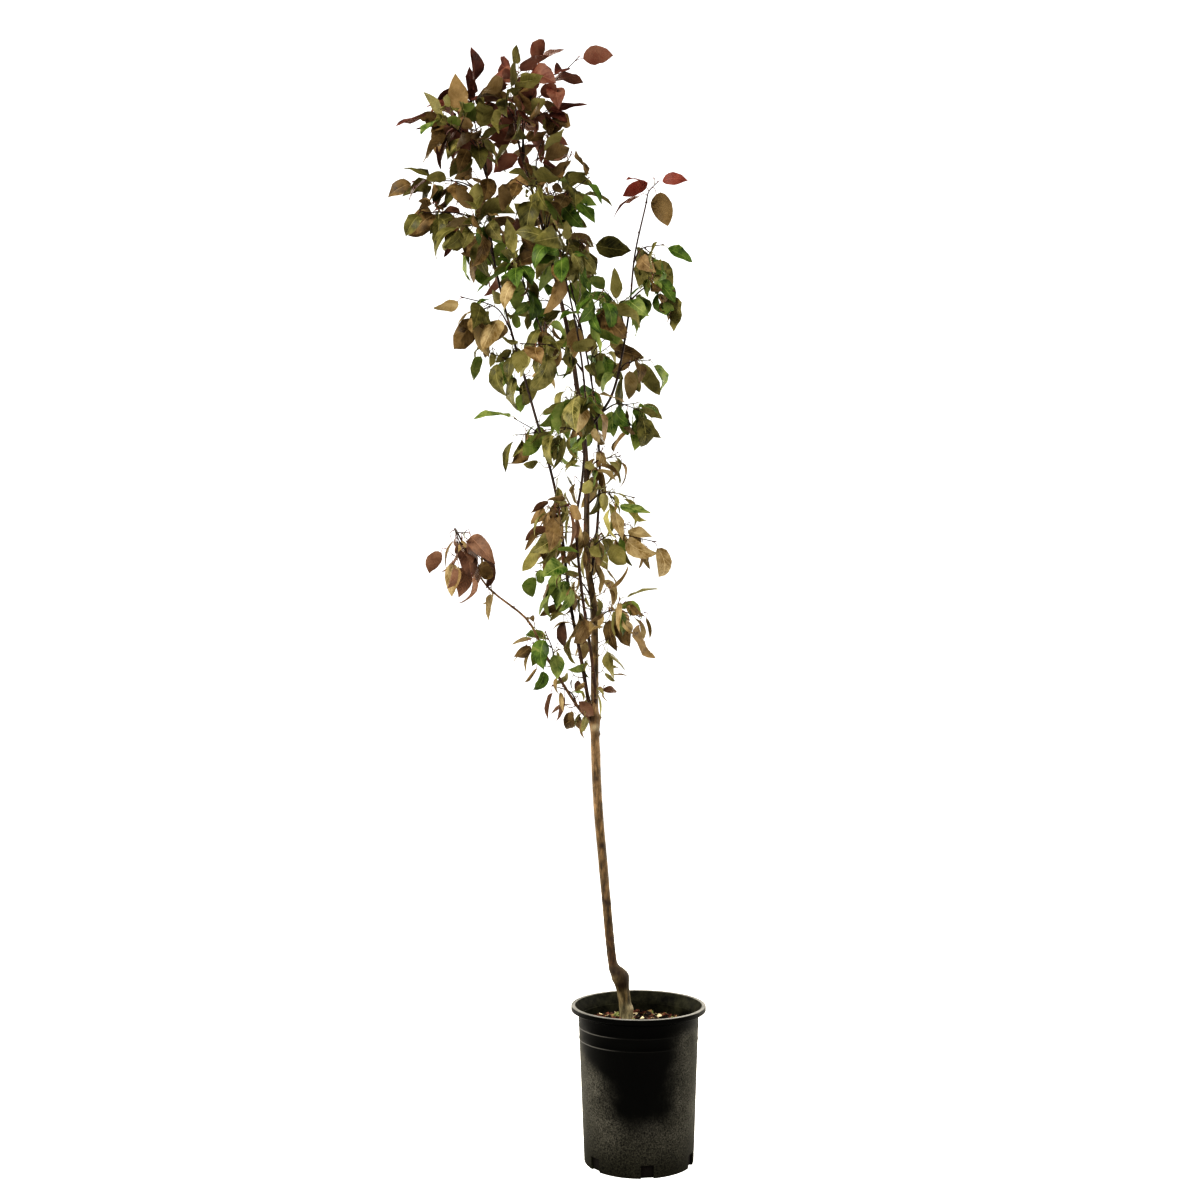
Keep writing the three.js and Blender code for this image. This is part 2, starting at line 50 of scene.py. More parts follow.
# Nursery pot
# The real pot is one piece of injection-moulded black polyethylene: a tall tapering can with a turned-out
# lip, two faint rings under it, and six drain notches cut up from its foot. Handling has left it dusty.
MM = 0.001
POT_HEIGHT = 302
RIM_RADIUS = 135
MOUTH_RADIUS = 126.5
LIP_DEPTH = 17
LIP_FACE = 6.5  # height of the lip's upright outer face
NECK_RADIUS = 120.5
FOOT_RADIUS = 108.5
FOOT_RING = 12  # width of the ring that the pot stands on
FOOT_RECESS = 1.6
POT_WALL = 3
POT_FLOOR = 4
POT_SIDES = 120
RIDGE_HEIGHTS = [238, 262]
RIDGE = 0.8
LEDGE_HEIGHT = 278  # of the moulded step inside
NOTCHES = 6
NOTCH_WIDTH = 25
NOTCH_HEIGHT = 25
NOTCH_DEPTH = 14
FIRST_NOTCH = 7  # degrees to the right of the front


def wall_radius(height):
    return FOOT_RADIUS + (NECK_RADIUS - FOOT_RADIUS) * height / (POT_HEIGHT - LIP_DEPTH)


def arc(centre, radius, start, end, steps):
    """Places on an arc of an outline, between two angles in degrees."""
    angles = np.radians(np.linspace(start, end, steps))
    return [(centre[0] + radius * math.cos(a), centre[1] + radius * math.sin(a)) for a in angles]


def turned(name, outline, sides):
    """Draws a disc at an outline's first place and pulls it through the others, as on a lathe."""
    radius, height = outline[0]
    bpy.ops.mesh.primitive_circle_add(
        vertices=sides, radius=radius * MM, fill_type="NGON", location=(0, 0, height * MM)
    )
    piece = bpy.context.object
    piece.name = name
    bpy.ops.object.transform_apply(location=True, rotation=True, scale=True)
    bpy.ops.object.mode_set(mode="EDIT")
    bpy.ops.mesh.select_all(action="SELECT")
    for next_radius, next_height in outline[1:]:
        rise = (next_height - height) * MM
        grow = next_radius / radius
        bpy.ops.mesh.extrude_region_move(TRANSFORM_OT_translate={"value": (0, 0, rise)})
        bpy.ops.transform.resize(value=(grow, grow, 1), center_override=(0, 0, next_height * MM))
        radius, height = next_radius, next_height
    bpy.ops.mesh.select_all(action="SELECT")
    bpy.ops.mesh.normals_make_consistent(inside=False)
    bpy.ops.object.mode_set(mode="OBJECT")
    return piece


neck = POT_HEIGHT - LIP_DEPTH
ridges = []
for ridge_height in RIDGE_HEIGHTS:
    ridges += [
        (wall_radius(ridge_height + lift) + out, ridge_height + lift)
        for lift, out in [(-2.2, 0), (-1, 0.7 * RIDGE), (0, RIDGE), (1, 0.7 * RIDGE), (2.2, 0)]
    ]
pot_outline = [
    (FOOT_RADIUS - FOOT_RING - 2, FOOT_RECESS),
    (FOOT_RADIUS - FOOT_RING, 0),
    *arc((FOOT_RADIUS - 2, 2), 2, -90, 0, 5),
    (wall_radius(40), 40),
    (wall_radius(120), 120),
    *ridges,
    *arc((NECK_RADIUS + 2.2, neck - 1), 2.2, 180, 110, 4),
    (RIM_RADIUS - 3.2, neck + 5.6),
    *arc((RIM_RADIUS - 1.6, neck + 8.4), 1.6, -50, 0, 3),
    (RIM_RADIUS, neck + 8.4 + LIP_FACE - 2.4),
    *arc((RIM_RADIUS - 1.8, POT_HEIGHT - 1.8), 1.8, 10, 90, 5),
    *arc((MOUTH_RADIUS + 1.4, POT_HEIGHT - 1.4), 1.4, 90, 180, 4),
    (MOUTH_RADIUS - 4, POT_HEIGHT - 10),
    (NECK_RADIUS - POT_WALL + 0.9, neck - 1.5),
    (NECK_RADIUS - POT_WALL + 0.2, LEDGE_HEIGHT + 1.2),
    (NECK_RADIUS - POT_WALL - 1.4, LEDGE_HEIGHT),
    (NECK_RADIUS - POT_WALL - 1.2, LEDGE_HEIGHT - 6),
    (FOOT_RADIUS - POT_WALL, POT_FLOOR),
]
pot = turned("nursery_pot", pot_outline, POT_SIDES)
for number in range(NOTCHES):
    turn = math.radians(FIRST_NOTCH - 90 + 360 / NOTCHES * number)
    bpy.ops.mesh.primitive_cube_add(
        size=1,
        location=(FOOT_RADIUS * math.cos(turn) * MM, FOOT_RADIUS * math.sin(turn) * MM, 0),
        rotation=(0, 0, turn),
        scale=(NOTCH_DEPTH * MM, NOTCH_WIDTH * MM, 2 * NOTCH_HEIGHT * MM),
    )
    cutter = bpy.context.object
    cut = pot.modifiers.new("notch", "BOOLEAN")
    cut.object = cutter
    bpy.context.view_layer.objects.active = pot
    bpy.ops.object.modifier_apply(modifier="notch")
    bpy.data.objects.remove(cutter)


def only(piece):
    """Selects one piece and makes it active."""
    bpy.ops.object.select_all(action="DESELECT")
    piece.select_set(True)
    bpy.context.view_layer.objects.active = piece


def smooth(piece, angle):
    """Shades a piece smooth except where its faces meet at more than an angle in degrees."""
    only(piece)
    bpy.ops.object.shade_smooth_by_angle(angle=math.radians(angle))


smooth(pot, 32)


def shade(code, bright=1.0):
    """The shader's colour for a painter's hex code."""
    parts = [int(code[i : i + 2], 16) / 255 for i in (0, 2, 4)]
    linear = [p / 12.92 if p <= 0.04045 else ((p + 0.055) / 1.055) ** 2.4 for p in parts]
    return (*[min(1.0, bright * p) for p in linear], 1.0)


def node(tree, kind, inputs=(), **settings):
    """Adds a node, with its settings, plain inputs and links."""
    made = tree.nodes.new(kind)
    for key, value in settings.items():
        setattr(made, key, value)
    for socket, value in dict(inputs).items():
        if isinstance(value, bpy.types.NodeSocket):
            tree.links.new(value, made.inputs[socket])
        else:
            made.inputs[socket].default_value = value
    return made


def new_group(name, inputs, outputs):
    """Starts a node group with named sockets, and gives its tree, its inputs and its outputs."""
    tree = bpy.data.node_groups.new(name, "ShaderNodeTree")
    for sockets, way in ((inputs, "INPUT"), (outputs, "OUTPUT")):
        for label, kind in sockets.items():
            tree.interface.new_socket(label, in_out=way, socket_type="NodeSocket" + kind)
    return tree, tree.nodes.new("NodeGroupInput").outputs, tree.nodes.new("NodeGroupOutput").inputs


def group_node(tree, group, *values):
    """Places a group in a material with its own values, in the order of the group's inputs."""
    labels = [item.name for item in group.interface.items_tree if item.in_out == "INPUT"]
    return node(tree, "ShaderNodeGroup", zip(labels, values), node_tree=group).outputs


def maths(tree, operation, first, second=0.0, third=0.0, clamped=False):
    """One step of arithmetic in a material."""
    inputs = {0: first, 1: second, 2: third}
    return node(tree, "ShaderNodeMath", inputs, operation=operation, use_clamp=clamped).outputs[0]


def blended(tree, factor, first, second, how="MIX"):
    """Two colours mixed by a mask."""
    inputs = {"Factor": factor, "A": first, "B": second}
    return node(tree, "ShaderNodeMix", inputs, data_type="RGBA", blend_type=how).outputs["Result"]


# Cloudy patches of two colours, with fine specks
SPECKS_PER_METRE = 900.0
mottle, given, wanted = new_group(
    "Mottle",
    {
        "Dark": "Color", "Light": "Color", "Place": "Vector",
        "Patches per metre": "Float", "Sharpness": "Float", "Specks": "Float",
    },
    {"Colour": "Color", "Mask": "Float", "Grain": "Float"},
)
patches = node(
    mottle,
    "ShaderNodeTexNoise",
    {"Vector": given["Place"], "Scale": given["Patches per metre"], "Detail": 4.0, "Roughness": 0.6},
).outputs["Fac"]
grain = node(
    mottle, "ShaderNodeTexNoise", {"Vector": given["Place"], "Scale": SPECKS_PER_METRE, "Detail": 2.0}
).outputs["Fac"]
sharper = maths(mottle, "SUBTRACT", patches, 0.5)
sharper = maths(mottle, "MULTIPLY_ADD", sharper, given["Sharpness"], 0.5)
speck = maths(mottle, "SUBTRACT", grain, 0.5)
mask = maths(mottle, "MULTIPLY_ADD", speck, given["Specks"], sharper, clamped=True)
mottle.links.new(blended(mottle, mask, given["Dark"], given["Light"]), wanted["Colour"])
mottle.links.new(mask, wanted["Mask"])
mottle.links.new(grain, wanted["Grain"])


def new_material(name, roughness, specular=0.5):
    """Starts a material, and gives it with its tree, its shader and its Object coordinates."""
    material = bpy.data.materials.new(name)
    material.use_nodes = True
    tree = material.node_tree
    shader = tree.nodes["Principled BSDF"]
    shader.inputs["Roughness"].default_value = roughness
    shader.inputs["Specular IOR Level"].default_value = specular
    place = tree.nodes.new("ShaderNodeTexCoord").outputs["Object"]
    return material, tree, shader, place


def mottled(tree, dark, light, place, patches_per_metre, sharpness, specks):
    return group_node(tree, mottle, dark, light, place, patches_per_metre, sharpness, specks)


def ramp(tree, value, stops):
    """A colour ramp over a value, from pairs of position and colour."""
    made = node(tree, "ShaderNodeValToRGB", {"Fac": value})
    elements = made.color_ramp.elements
    while len(elements) < len(stops):
        elements.new(0.5)
    for element, (position, colour) in zip(elements, stops):
        element.position = position
        element.color = colour
    return made.outputs["Color"]


def relief(tree, shader, height, distance, strength=0.6):
    """Feeds a height to the shader as a bump."""
    inputs = {"Height": height, "Distance": distance * MM, "Strength": strength}
    bump = node(tree, "ShaderNodeBump", inputs)
    tree.links.new(bump.outputs["Normal"], shader.inputs["Normal"])


def eased(tree, value, low, high, start=0.0, end=1.0):
    """A smooth step of a value between two limits."""
    inputs = {"Value": value, "From Min": low, "From Max": high, "To Min": start, "To Max": end}
    return node(tree, "ShaderNodeMapRange", inputs, interpolation_type="SMOOTHSTEP").outputs["Result"]


def zoned(tree, value, zone, start=0.0, end=1.0):
    """A smooth step over a zone given in millimetres."""
    return eased(tree, value, zone[0] * MM, zone[1] * MM, start, end)


BLACK_PLASTIC = shade("010101")
FADED_PLASTIC = shade("060605")
# Dust colours, which at the pot's sides also stand in for a painted sheen
GREY_DUST_AND_SHEEN = shade("6c6a63")
OLIVE_DUST_AND_SHEEN = shade("494841")
SPLASHED_SOIL = shade("33322a")
DRIED_FILM = shade("37372a")
# Pale edge colour: partly wear and partly a painted highlight, on the lip's top edge and on the rings
WORN_AND_HIGHLIT_EDGE = shade("9c9b98")
# Where each finish starts and ends, as heights or as places across the pot
WORN_AND_HIGHLIT_TOP = (300.6, 301.8)  # the lip's highest edge, worn and given a painted highlight
LIP_SHADOW = (255, 280)  # a painted shadow of the lip: dust and sheen fade out upwards over these heights
RING_TOP = (268, 270)
RING_RISE = (FOOT_RADIUS + 0.25, FOOT_RADIUS + 0.75)  # out from the wall's taper
RING_SIDE = (-100, -30)  # the rings' painted highlights are strongest at the left
RING_HIGHLIGHT = 0.3
SHADED_FRONT = (65, 106)  # how far forward the wall is kept black, a painted shade in place of its dark reflection
SHADED_FRONT_ROUND = 8  # how much its lower end is rounded
SHADED_FRONT_WAIST = (50, 140)  # it narrows towards this zone's foot
SHADED_FRONT_SHOULDER = (170, 240)  # and widens to the left over this one
SHADED_FRONT_LEAN = -0.6
# the painted shade of the front fades out downwards over these heights
SHADED_FRONT_LOW = (40, 120)
SOILED = (0, 110)

# Pale wear and a painted highlight along the lip's highest edge, in patches
rim_wear_and_highlight, given, wanted = new_group(
    "Rim wear and highlight",
    {"Height": "Float", "Patches": "Float", "Patchiness": "Float", "Least": "Float"},
    {"Mask": "Float"},
)
patchy = maths(rim_wear_and_highlight, "MULTIPLY_ADD", given["Patches"], given["Patchiness"], given["Least"])
top_edge = zoned(rim_wear_and_highlight, given["Height"], WORN_AND_HIGHLIT_TOP)
rim_wear_and_highlight.links.new(maths(rim_wear_and_highlight, "MULTIPLY", top_edge, patchy), wanted["Mask"])

# Outside: a painted shade keeps the front black, dust with a painted sheen stays at the sides, and dust and
# splashes stay low down
plastic, tree, shader, place = new_material("black_moulded_plastic", 0.46, 0.05)
body = mottled(tree, BLACK_PLASTIC, FADED_PLASTIC, place, 14, 1.6, 0.5)
specks = mottled(tree, (0.12, 0.12, 0.12, 1), (1, 1, 1, 1), place, 330, 2.4, 1.1)
cloud = mottled(tree, OLIVE_DUST_AND_SHEEN, GREY_DUST_AND_SHEEN, place, 16, 2.6, 0.2)
axes = node(tree, "ShaderNodeSeparateXYZ", {"Vector": place}).outputs
across, backward, height = (axes[axis] for axis in "XYZ")
sideways, frontways = (maths(tree, "MULTIPLY", axis, axis) for axis in (across, backward))
# Painted shade: a black front that leans a little to the left and narrows at the waist
forward = maths(tree, "MULTIPLY_ADD", cloud["Mask"], -14 * MM, maths(tree, "MULTIPLY", backward, -1.0))
forward = maths(tree, "MULTIPLY_ADD", zoned(tree, height, SHADED_FRONT_WAIST, 1.0, 0.0), -18 * MM, forward)
to_left = maths(tree, "MAXIMUM", maths(tree, "MULTIPLY", across, SHADED_FRONT_LEAN), 0.0)
forward = maths(tree, "MULTIPLY_ADD", zoned(tree, height, SHADED_FRONT_SHOULDER), to_left, forward)
above = maths(tree, "MULTIPLY_ADD", sideways, -SHADED_FRONT_ROUND, height)
above = maths(tree, "MULTIPLY_ADD", cloud["Mask"], 20 * MM, above)
shaded_front = maths(tree, "MULTIPLY", zoned(tree, forward, SHADED_FRONT), zoned(tree, above, SHADED_FRONT_LOW))
# Dust with a painted sheen, outside the black front
dust_and_sheen_share = maths(tree, "MULTIPLY_ADD", shaded_front, -0.95, 0.96)
# Painted shadow under the lip
painted_lip_shadow = zoned(tree, height, LIP_SHADOW, 1.0, 0.12)
dust_and_sheen = maths(tree, "MULTIPLY", maths(tree, "MULTIPLY", dust_and_sheen_share, painted_lip_shadow), specks["Mask"])
edge_wear_and_highlight = group_node(tree, rim_wear_and_highlight, height, cloud["Mask"], 0.4, 0.5)["Mask"]
out = maths(tree, "SQRT", maths(tree, "ADD", sideways, frontways))
slope = (NECK_RADIUS - FOOT_RADIUS) / neck
# Painted highlights along the tops of the two rings, mostly at the left
ring_highlight = zoned(tree, maths(tree, "MULTIPLY_ADD", height, -slope, out), RING_RISE, 0.0, RING_HIGHLIGHT)
ring_highlight = maths(tree, "MULTIPLY", ring_highlight, zoned(tree, height, RING_TOP, 1.0, 0.0))
ring_highlight = maths(tree, "MULTIPLY", ring_highlight, zoned(tree, across, RING_SIDE, 1.0, 0.06))
soiled = blended(tree, zoned(tree, height, SOILED), SPLASHED_SOIL, cloud["Colour"])
coated = blended(tree, dust_and_sheen, body["Colour"], soiled)
# The lip's worn, highlighted edge and the rings' painted highlights take the pale edge colour
worn_and_highlit = blended(tree, maths(tree, "ADD", edge_wear_and_highlight, ring_highlight), coated, WORN_AND_HIGHLIT_EDGE)
tree.links.new(worn_and_highlit, shader.inputs["Base Color"])
tree.links.new(maths(tree, "MULTIPLY_ADD", dust_and_sheen, 0.4, 0.4), shader.inputs["Roughness"])
relief(tree, shader, specks["Grain"], 0.12, 0.5)
pot.data.materials.append(plastic)

# Inside: a dried film of mix above the soil
lining, tree, shader, place = new_material("filmed_inner_wall", 0.6, 0.08)
film = mottled(tree, FADED_PLASTIC, DRIED_FILM, place, 45, 2.6, 0.9)
height = node(tree, "ShaderNodeSeparateXYZ", {"Vector": place}).outputs["Z"]
# The lip's inner top edge: wear and a painted highlight
edge_wear_and_highlight = group_node(tree, rim_wear_and_highlight, height, film["Mask"], 0.5, 0.4)["Mask"]
tree.links.new(blended(tree, edge_wear_and_highlight, film["Colour"], WORN_AND_HIGHLIT_EDGE), shader.inputs["Base Color"])
relief(tree, shader, film["Grain"], 0.15, 0.5)
pot.data.materials.append(lining)
for face in pot.data.polygons:
    x, y, z = face.center / MM
    # The middle of the wall, which leans out in the lip, parts the inside from the outside
    lean_out = 0.48 * max(0, z - neck + 1.5)
    if z > POT_FLOOR - 1 and math.hypot(x, y) < wall_radius(min(z, neck)) - 1 + lean_out:
        face.material_index = 1
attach(pot, "root")
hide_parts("pot")


# Potting mix
# The pot is filled with damp composted bark, which has sunk a finger's width under the lip. Its top is lumpy,
# banked up a little round the stem, and strewn with coarse chips of red-brown and sun-bleached bark.
SOIL_TOP = 266.7
SOIL_EDGE_DROP = 5
SOIL_GAP = 0.4  # to the pot's wall
SOIL_SIDES = 96
SOIL_RINGS = 34
SOIL_SINK = 2.2  # under the solid's top
SOIL_LUMPS = 2.6
LUMP_SIZE = 17
LEVEL_OUT_TO = 88  # from the middle
EDGE_WIDTH = 26  # over which the mix falls away to the wall
STEM_PLACE = (-22, 25)  # where the stem leaves the soil, seen from above
BANK_HEIGHT = 4.5
BANK_WIDTH = 26
BURIED = (240, 255)  # heights below which the mix is packed and dark


def soil_height(x, y):
    """The soil's height at a place, in millimetres."""
    lumps = noise.fractal(Vector((x / LUMP_SIZE, y / LUMP_SIZE, 0.3)), 0.9, 2.1, 5)
    from_stem = math.hypot(x - STEM_PLACE[0], y - STEM_PLACE[1])
    bank = BANK_HEIGHT * math.exp(-((from_stem / BANK_WIDTH) ** 2))
    edge = max(0.0, (math.hypot(x, y) - LEVEL_OUT_TO) / EDGE_WIDTH)
    return SOIL_TOP - SOIL_SINK - SOIL_EDGE_DROP * min(1.0, edge) + SOIL_LUMPS * lumps + bank


def soil_wall(height):
    return wall_radius(height) - POT_WALL - 1.1 - SOIL_GAP


edge_height = SOIL_TOP - SOIL_EDGE_DROP
rings = [soil_wall(edge_height) * (1 - (i / SOIL_RINGS) ** 1.1) for i in range(1, SOIL_RINGS)]
soil_outline = [
    (soil_wall(POT_FLOOR), POT_FLOOR + SOIL_GAP),
    (soil_wall(edge_height), edge_height - 6),
    *[(radius, edge_height) for radius in [soil_wall(edge_height) - 0.2, *rings]],
]
soil = turned("potting_mix", soil_outline, SOIL_SIDES)
for vertex in soil.data.vertices:
    x, y, z = vertex.co / MM
    if z > edge_height - 1:
        near_wall = min(1.0, (soil_wall(edge_height) - math.hypot(x, y)) / 6 + 0.15)
        vertex.co.z = (edge_height + near_wall * (soil_height(x, y) - edge_height)) * MM
smooth(soil, 60)

DARK_SOIL = shade("0f0a07")
BROWN_SOIL = shade("3a261b")
BARK_FIBRE = shade("6d4f38")

mix_material, tree, shader, place = new_material("damp_bark_mix", 0.92, 0.25)
base = mottled(tree, DARK_SOIL, BROWN_SOIL, place, 95, 3.2, 1.4)
fibres = node(tree, "ShaderNodeTexVoronoi", {"Vector": place, "Scale": 420.0})
lit = ramp(tree, fibres.outputs["Distance"], [(0.0, (1, 1, 1, 1)), (0.3, (0, 0, 0, 1))])
crumbs = blended(tree, maths(tree, "MULTIPLY", lit, base["Mask"]), base["Colour"], BARK_FIBRE)
height = node(tree, "ShaderNodeSeparateXYZ", {"Vector": place}).outputs["Z"]
packed = blended(tree, zoned(tree, height, BURIED), DARK_SOIL, crumbs)
tree.links.new(packed, shader.inputs["Base Color"])
relief(tree, shader, fibres.outputs["Distance"], 1.4, 0.8)
soil.data.materials.append(mix_material)
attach(soil, "root")
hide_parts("soil")


# Bark chips
# The coarse part of the mix: split flakes and nuggets of conifer bark, from a few millimetres to the width of
# a thumb, lying loose and half sunk on top. Most are red-brown, and a few are bleached tan or grey.
CHIP_COUNT = 1100
CHIP_LENGTHS = [3.5, 21]
CHIP_WIDTHS = [0.22, 0.42]  # half of each, as shares of the length
CHIP_THICKNESSES = [0.08, 0.2]
CHIP_CORNERS = [0.55, 1.1]  # how far each corner is broken away or stands out
CHIP_TILT = 0.5
CHIP_SHADES = {
    "chip_dark": ("1a100a", 0.4),
    "chip_red_brown": ("6b4032", 0.24),
    "chip_brown": ("4a3022", 0.14),
    "chip_tan": ("b0946c", 0.09),
    "chip_bleached": ("dccfae", 0.07),
    "chip_mossy": ("8c9460", 0.06),
}


def dice(seed):
    """Repeatable numbers from 0 to 1: each seed gives its own run of them."""
    state = (seed * 7919 + 12345) % 2147483647

    def roll():
        nonlocal state
        state = (state * 16807) % 2147483647
        return state / 2147483647

    roll()
    roll()
    return roll


def mix(a, b, t):
    return a + (b - a) * t


def drawn(roll, shares):
    """The name drawn by one roll from a table of names and shares."""
    value = roll() * sum(shares.values())
    for name, share in shares.items():
        value -= share
        if value <= 0:
            return name
    return name


def joined(name, shapes, materials):
    """One mesh from many small shapes, each with its places, faces and each face's material number."""
    places, faces, kinds = [], [], []
    for shape_places, shape_faces, shape_kinds in shapes:
        start = len(places)
        places.extend((np.asarray(shape_places) * MM).tolist())
        faces.extend([[start + corner for corner in face] for face in shape_faces])
        kinds.extend(shape_kinds)
    mesh = bpy.data.meshes.new(name)
    mesh.from_pydata(places, [], faces)
    for material in materials:
        mesh.materials.append(material)
    mesh.polygons.foreach_set("material_index", kinds)
    piece = bpy.data.objects.new(name, mesh)
    bpy.context.collection.objects.link(piece)
    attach(piece, "root")
    return piece


def rotation(axis, angle):
    """A turn about one of the three axes, as a matrix."""
    a, b = (other for other in range(3) if other != axis)
    turn = np.eye(3)
    turn[a, a] = turn[b, b] = math.cos(angle)
    turn[a, b], turn[b, a] = -math.sin(angle), math.sin(angle)
    return turn


# A flake's eight corners and six faces
FLAKE_CORNERS = np.array([[x, y, z] for z in (-1, 1) for y in (-1, 1) for x in (-1, 1)], float)
FLAKE_FACES = [[0, 2, 3, 1], [4, 5, 7, 6], [0, 1, 5, 4], [2, 6, 7, 3], [0, 4, 6, 2], [1, 3, 7, 5]]

chip_names = list(CHIP_SHADES)
chip_shares = {name: share for name, (_, share) in CHIP_SHADES.items()}
chips = []
for number in range(CHIP_COUNT):
    roll = dice(700000 + number)
    out = (soil_wall(edge_height) - 5) * math.sqrt(roll())
    turn = 2 * math.pi * roll()
    x, y = out * math.cos(turn), out * math.sin(turn)
    reach = mix(*CHIP_LENGTHS, roll() ** 2.6)
    half = np.array([reach / 2, reach * mix(*CHIP_WIDTHS, roll()), reach * mix(*CHIP_THICKNESSES, roll())])
    corners = FLAKE_CORNERS * half
    corners *= [[mix(*CHIP_CORNERS, roll()) for _ in range(3)] for _ in range(8)]
    heading = 2 * math.pi * roll()
    tip, tilt = (mix(-CHIP_TILT, CHIP_TILT, roll()) for _ in range(2))
    lie = rotation(2, heading) @ rotation(1, tip) @ rotation(0, tilt)
    centre = np.array([x, y, soil_height(x, y) + mix(0.1, 1.0, roll()) * half[2] + 0.4])
    kind = chip_names.index(drawn(roll, chip_shares))
    chips.append((corners @ lie.T + centre, FLAKE_FACES, [kind] * 6))

chip_materials = []
for name, (code, _) in CHIP_SHADES.items():
    chip_material, tree, shader, place = new_material(name, 0.85, 0.3)
    chip = mottled(tree, shade(code, 0.6), shade(code, 1.25), place, 160, 2.2, 0.8)
    tree.links.new(chip["Colour"], shader.inputs["Base Color"])
    relief(tree, shader, chip["Grain"], 0.3, 0.5)
    chip_materials.append(chip_material)
joined("bark_chips", chips, chip_materials)


# Trunk
# The real trunk is one grafted stem: a stout grey-green rootstock with a flared foot, the swollen graft where
# it kinks, and a smooth grey-brown stem with dark leaf scars that runs up through the crown and darkens.
LIMBS = {
    "trunk": [
        [-22, 25, 255], [-27, 25, 300], [-34, 24, 340], [-41, 23, 357], [-51, 21, 378], [-58, 18, 435],
        [-67, 12, 536], [-81, 4, 696], [-88, 0, 866], [-88, 0, 1000], [-90, 0, 1103], [-104, 0, 1210],
        [-106, 0, 1400], [-125, 0, 1560], [-142, 0, 1668], [-172, 0, 1800], [-209, 0, 1944],
        [-251, 0, 2094], [-257, 0, 2190],
    ]
}
STOCK_RADIUS = 12.6
STEM_RADIUS = 9.2
LEADER_RADIUS = 8.2
TRUNK_TOP = 2190
TRUNK_TIP_RADIUS = 1.8
ROOT_FLARE = 3.2
GRAFT_HEIGHT = 350
GRAFT_BULGE = 3.4
FORK_HEIGHT = 870
COLLAR_BULGE = 2.4
TRUNK_SIDES = 28
BARK_STEP = 2.6  # between two rings of the bark's mesh
FOLD_LENGTH = 60
BARK_LUMP = 16
PORE = (2.6, 2.6, 5)
PORE_RELIEF = 0.16
LEADER_MARKS = 22
FIRST_LEADER_MARK = 930
LEADER_MARK_STEP = 56
GOLDEN_ANGLE = 137.5
# Marks on the bark: height, turn in degrees, how far it stands out, half its height and how dark it is
TRUNK_MARKS = [
    (289, -20, 3.2, 7, -0.9), (322, 70, 1.3, 9, 0.7), (338, -75, 1.6, 12, 0.9), (356, -25, 3.6, 15, 0.75),
    (366, -110, 1.5, 9, 0.8), (501, -60, 0.7, 6, 1.0), (506, -130, 0.6, 5, 0.9), (617, -75, 0.8, 6, 1.0),
    (660, 150, 0.7, 5, 0.9), (752, -95, 0.9, 6, 1.0), (800, 20, 0.7, 5, 0.8), (856, -90, 0.9, 7, -0.8),
    (876, -5, 4.2, 4, 0.7), (842, -10, 2.6, 3.5, 0.7), (872, -150, 1.4, 10, 0.8), (430, -70, 0.6, 6, 0.8),
    (560, 100, 0.7, 6, 0.8), (700, -20, 0.6, 4, 0.7), (455, 60, 0.6, 6, 0.8), (930, -80, 0.8, 5, 0.9),
]


def along(line, t):
    """The point of a smooth line through places, at t from 0 to 1."""
    last = len(line) - 1
    whole = min(math.floor(last * t), last - 1)
    w = last * t - whole
    places = [np.asarray(place, float) for place in line]
    before = places[whole - 1] if whole > 0 else 2 * places[0] - places[1]
    after = places[whole + 2] if whole + 2 <= last else 2 * places[last] - places[last - 1]
    start, end = places[whole], places[whole + 1]
    leave, arrive = (end - before) / 2, (after - start) / 2
    cubic = 2 * start - 2 * end + leave + arrive
    square = -3 * start + 3 * end - 2 * leave - arrive
    return start + w * (leave + w * (square + w * cubic))


def unit(a):
    return a / math.sqrt(a @ a)


def tangent(line, t):
    return unit(along(line, min(1, t + 0.01)) - along(line, max(0, t - 0.01)))


def clamp(v):
    return min(1.0, max(0.0, v))


def hump(x, middle, width):
    return math.exp(-(((x - middle) / width) ** 2))


def trunk_radius(z):
    stock = clamp((GRAFT_HEIGHT + 28 - z) / 24)
    leader = clamp((z - FORK_HEIGHT) / 24)
    tipward = clamp((z - FORK_HEIGHT) / (TRUNK_TOP - FORK_HEIGHT))
    stem = mix(STEM_RADIUS, mix(LEADER_RADIUS, TRUNK_TIP_RADIUS, tipward), leader)
    return (
        mix(stem, STOCK_RADIUS, stock)
        + ROOT_FLARE * math.exp(-(z - SOIL_TOP) / 14)
        + GRAFT_BULGE * hump(z, GRAFT_HEIGHT, 15)
        + COLLAR_BULGE * hump(z, FORK_HEIGHT, 16)
    )


def square_to(way):
    """Two directions square to a way."""
    first = unit(np.cross(way, [1.0, 0, 0] if abs(way[2]) > 0.9 else [0, 0, 1.0]))
    return first, np.cross(way, first)


def length_of(line):
    return sum(np.linalg.norm(along(line, i / 20) - along(line, (i - 1) / 20)) for i in range(1, 21))


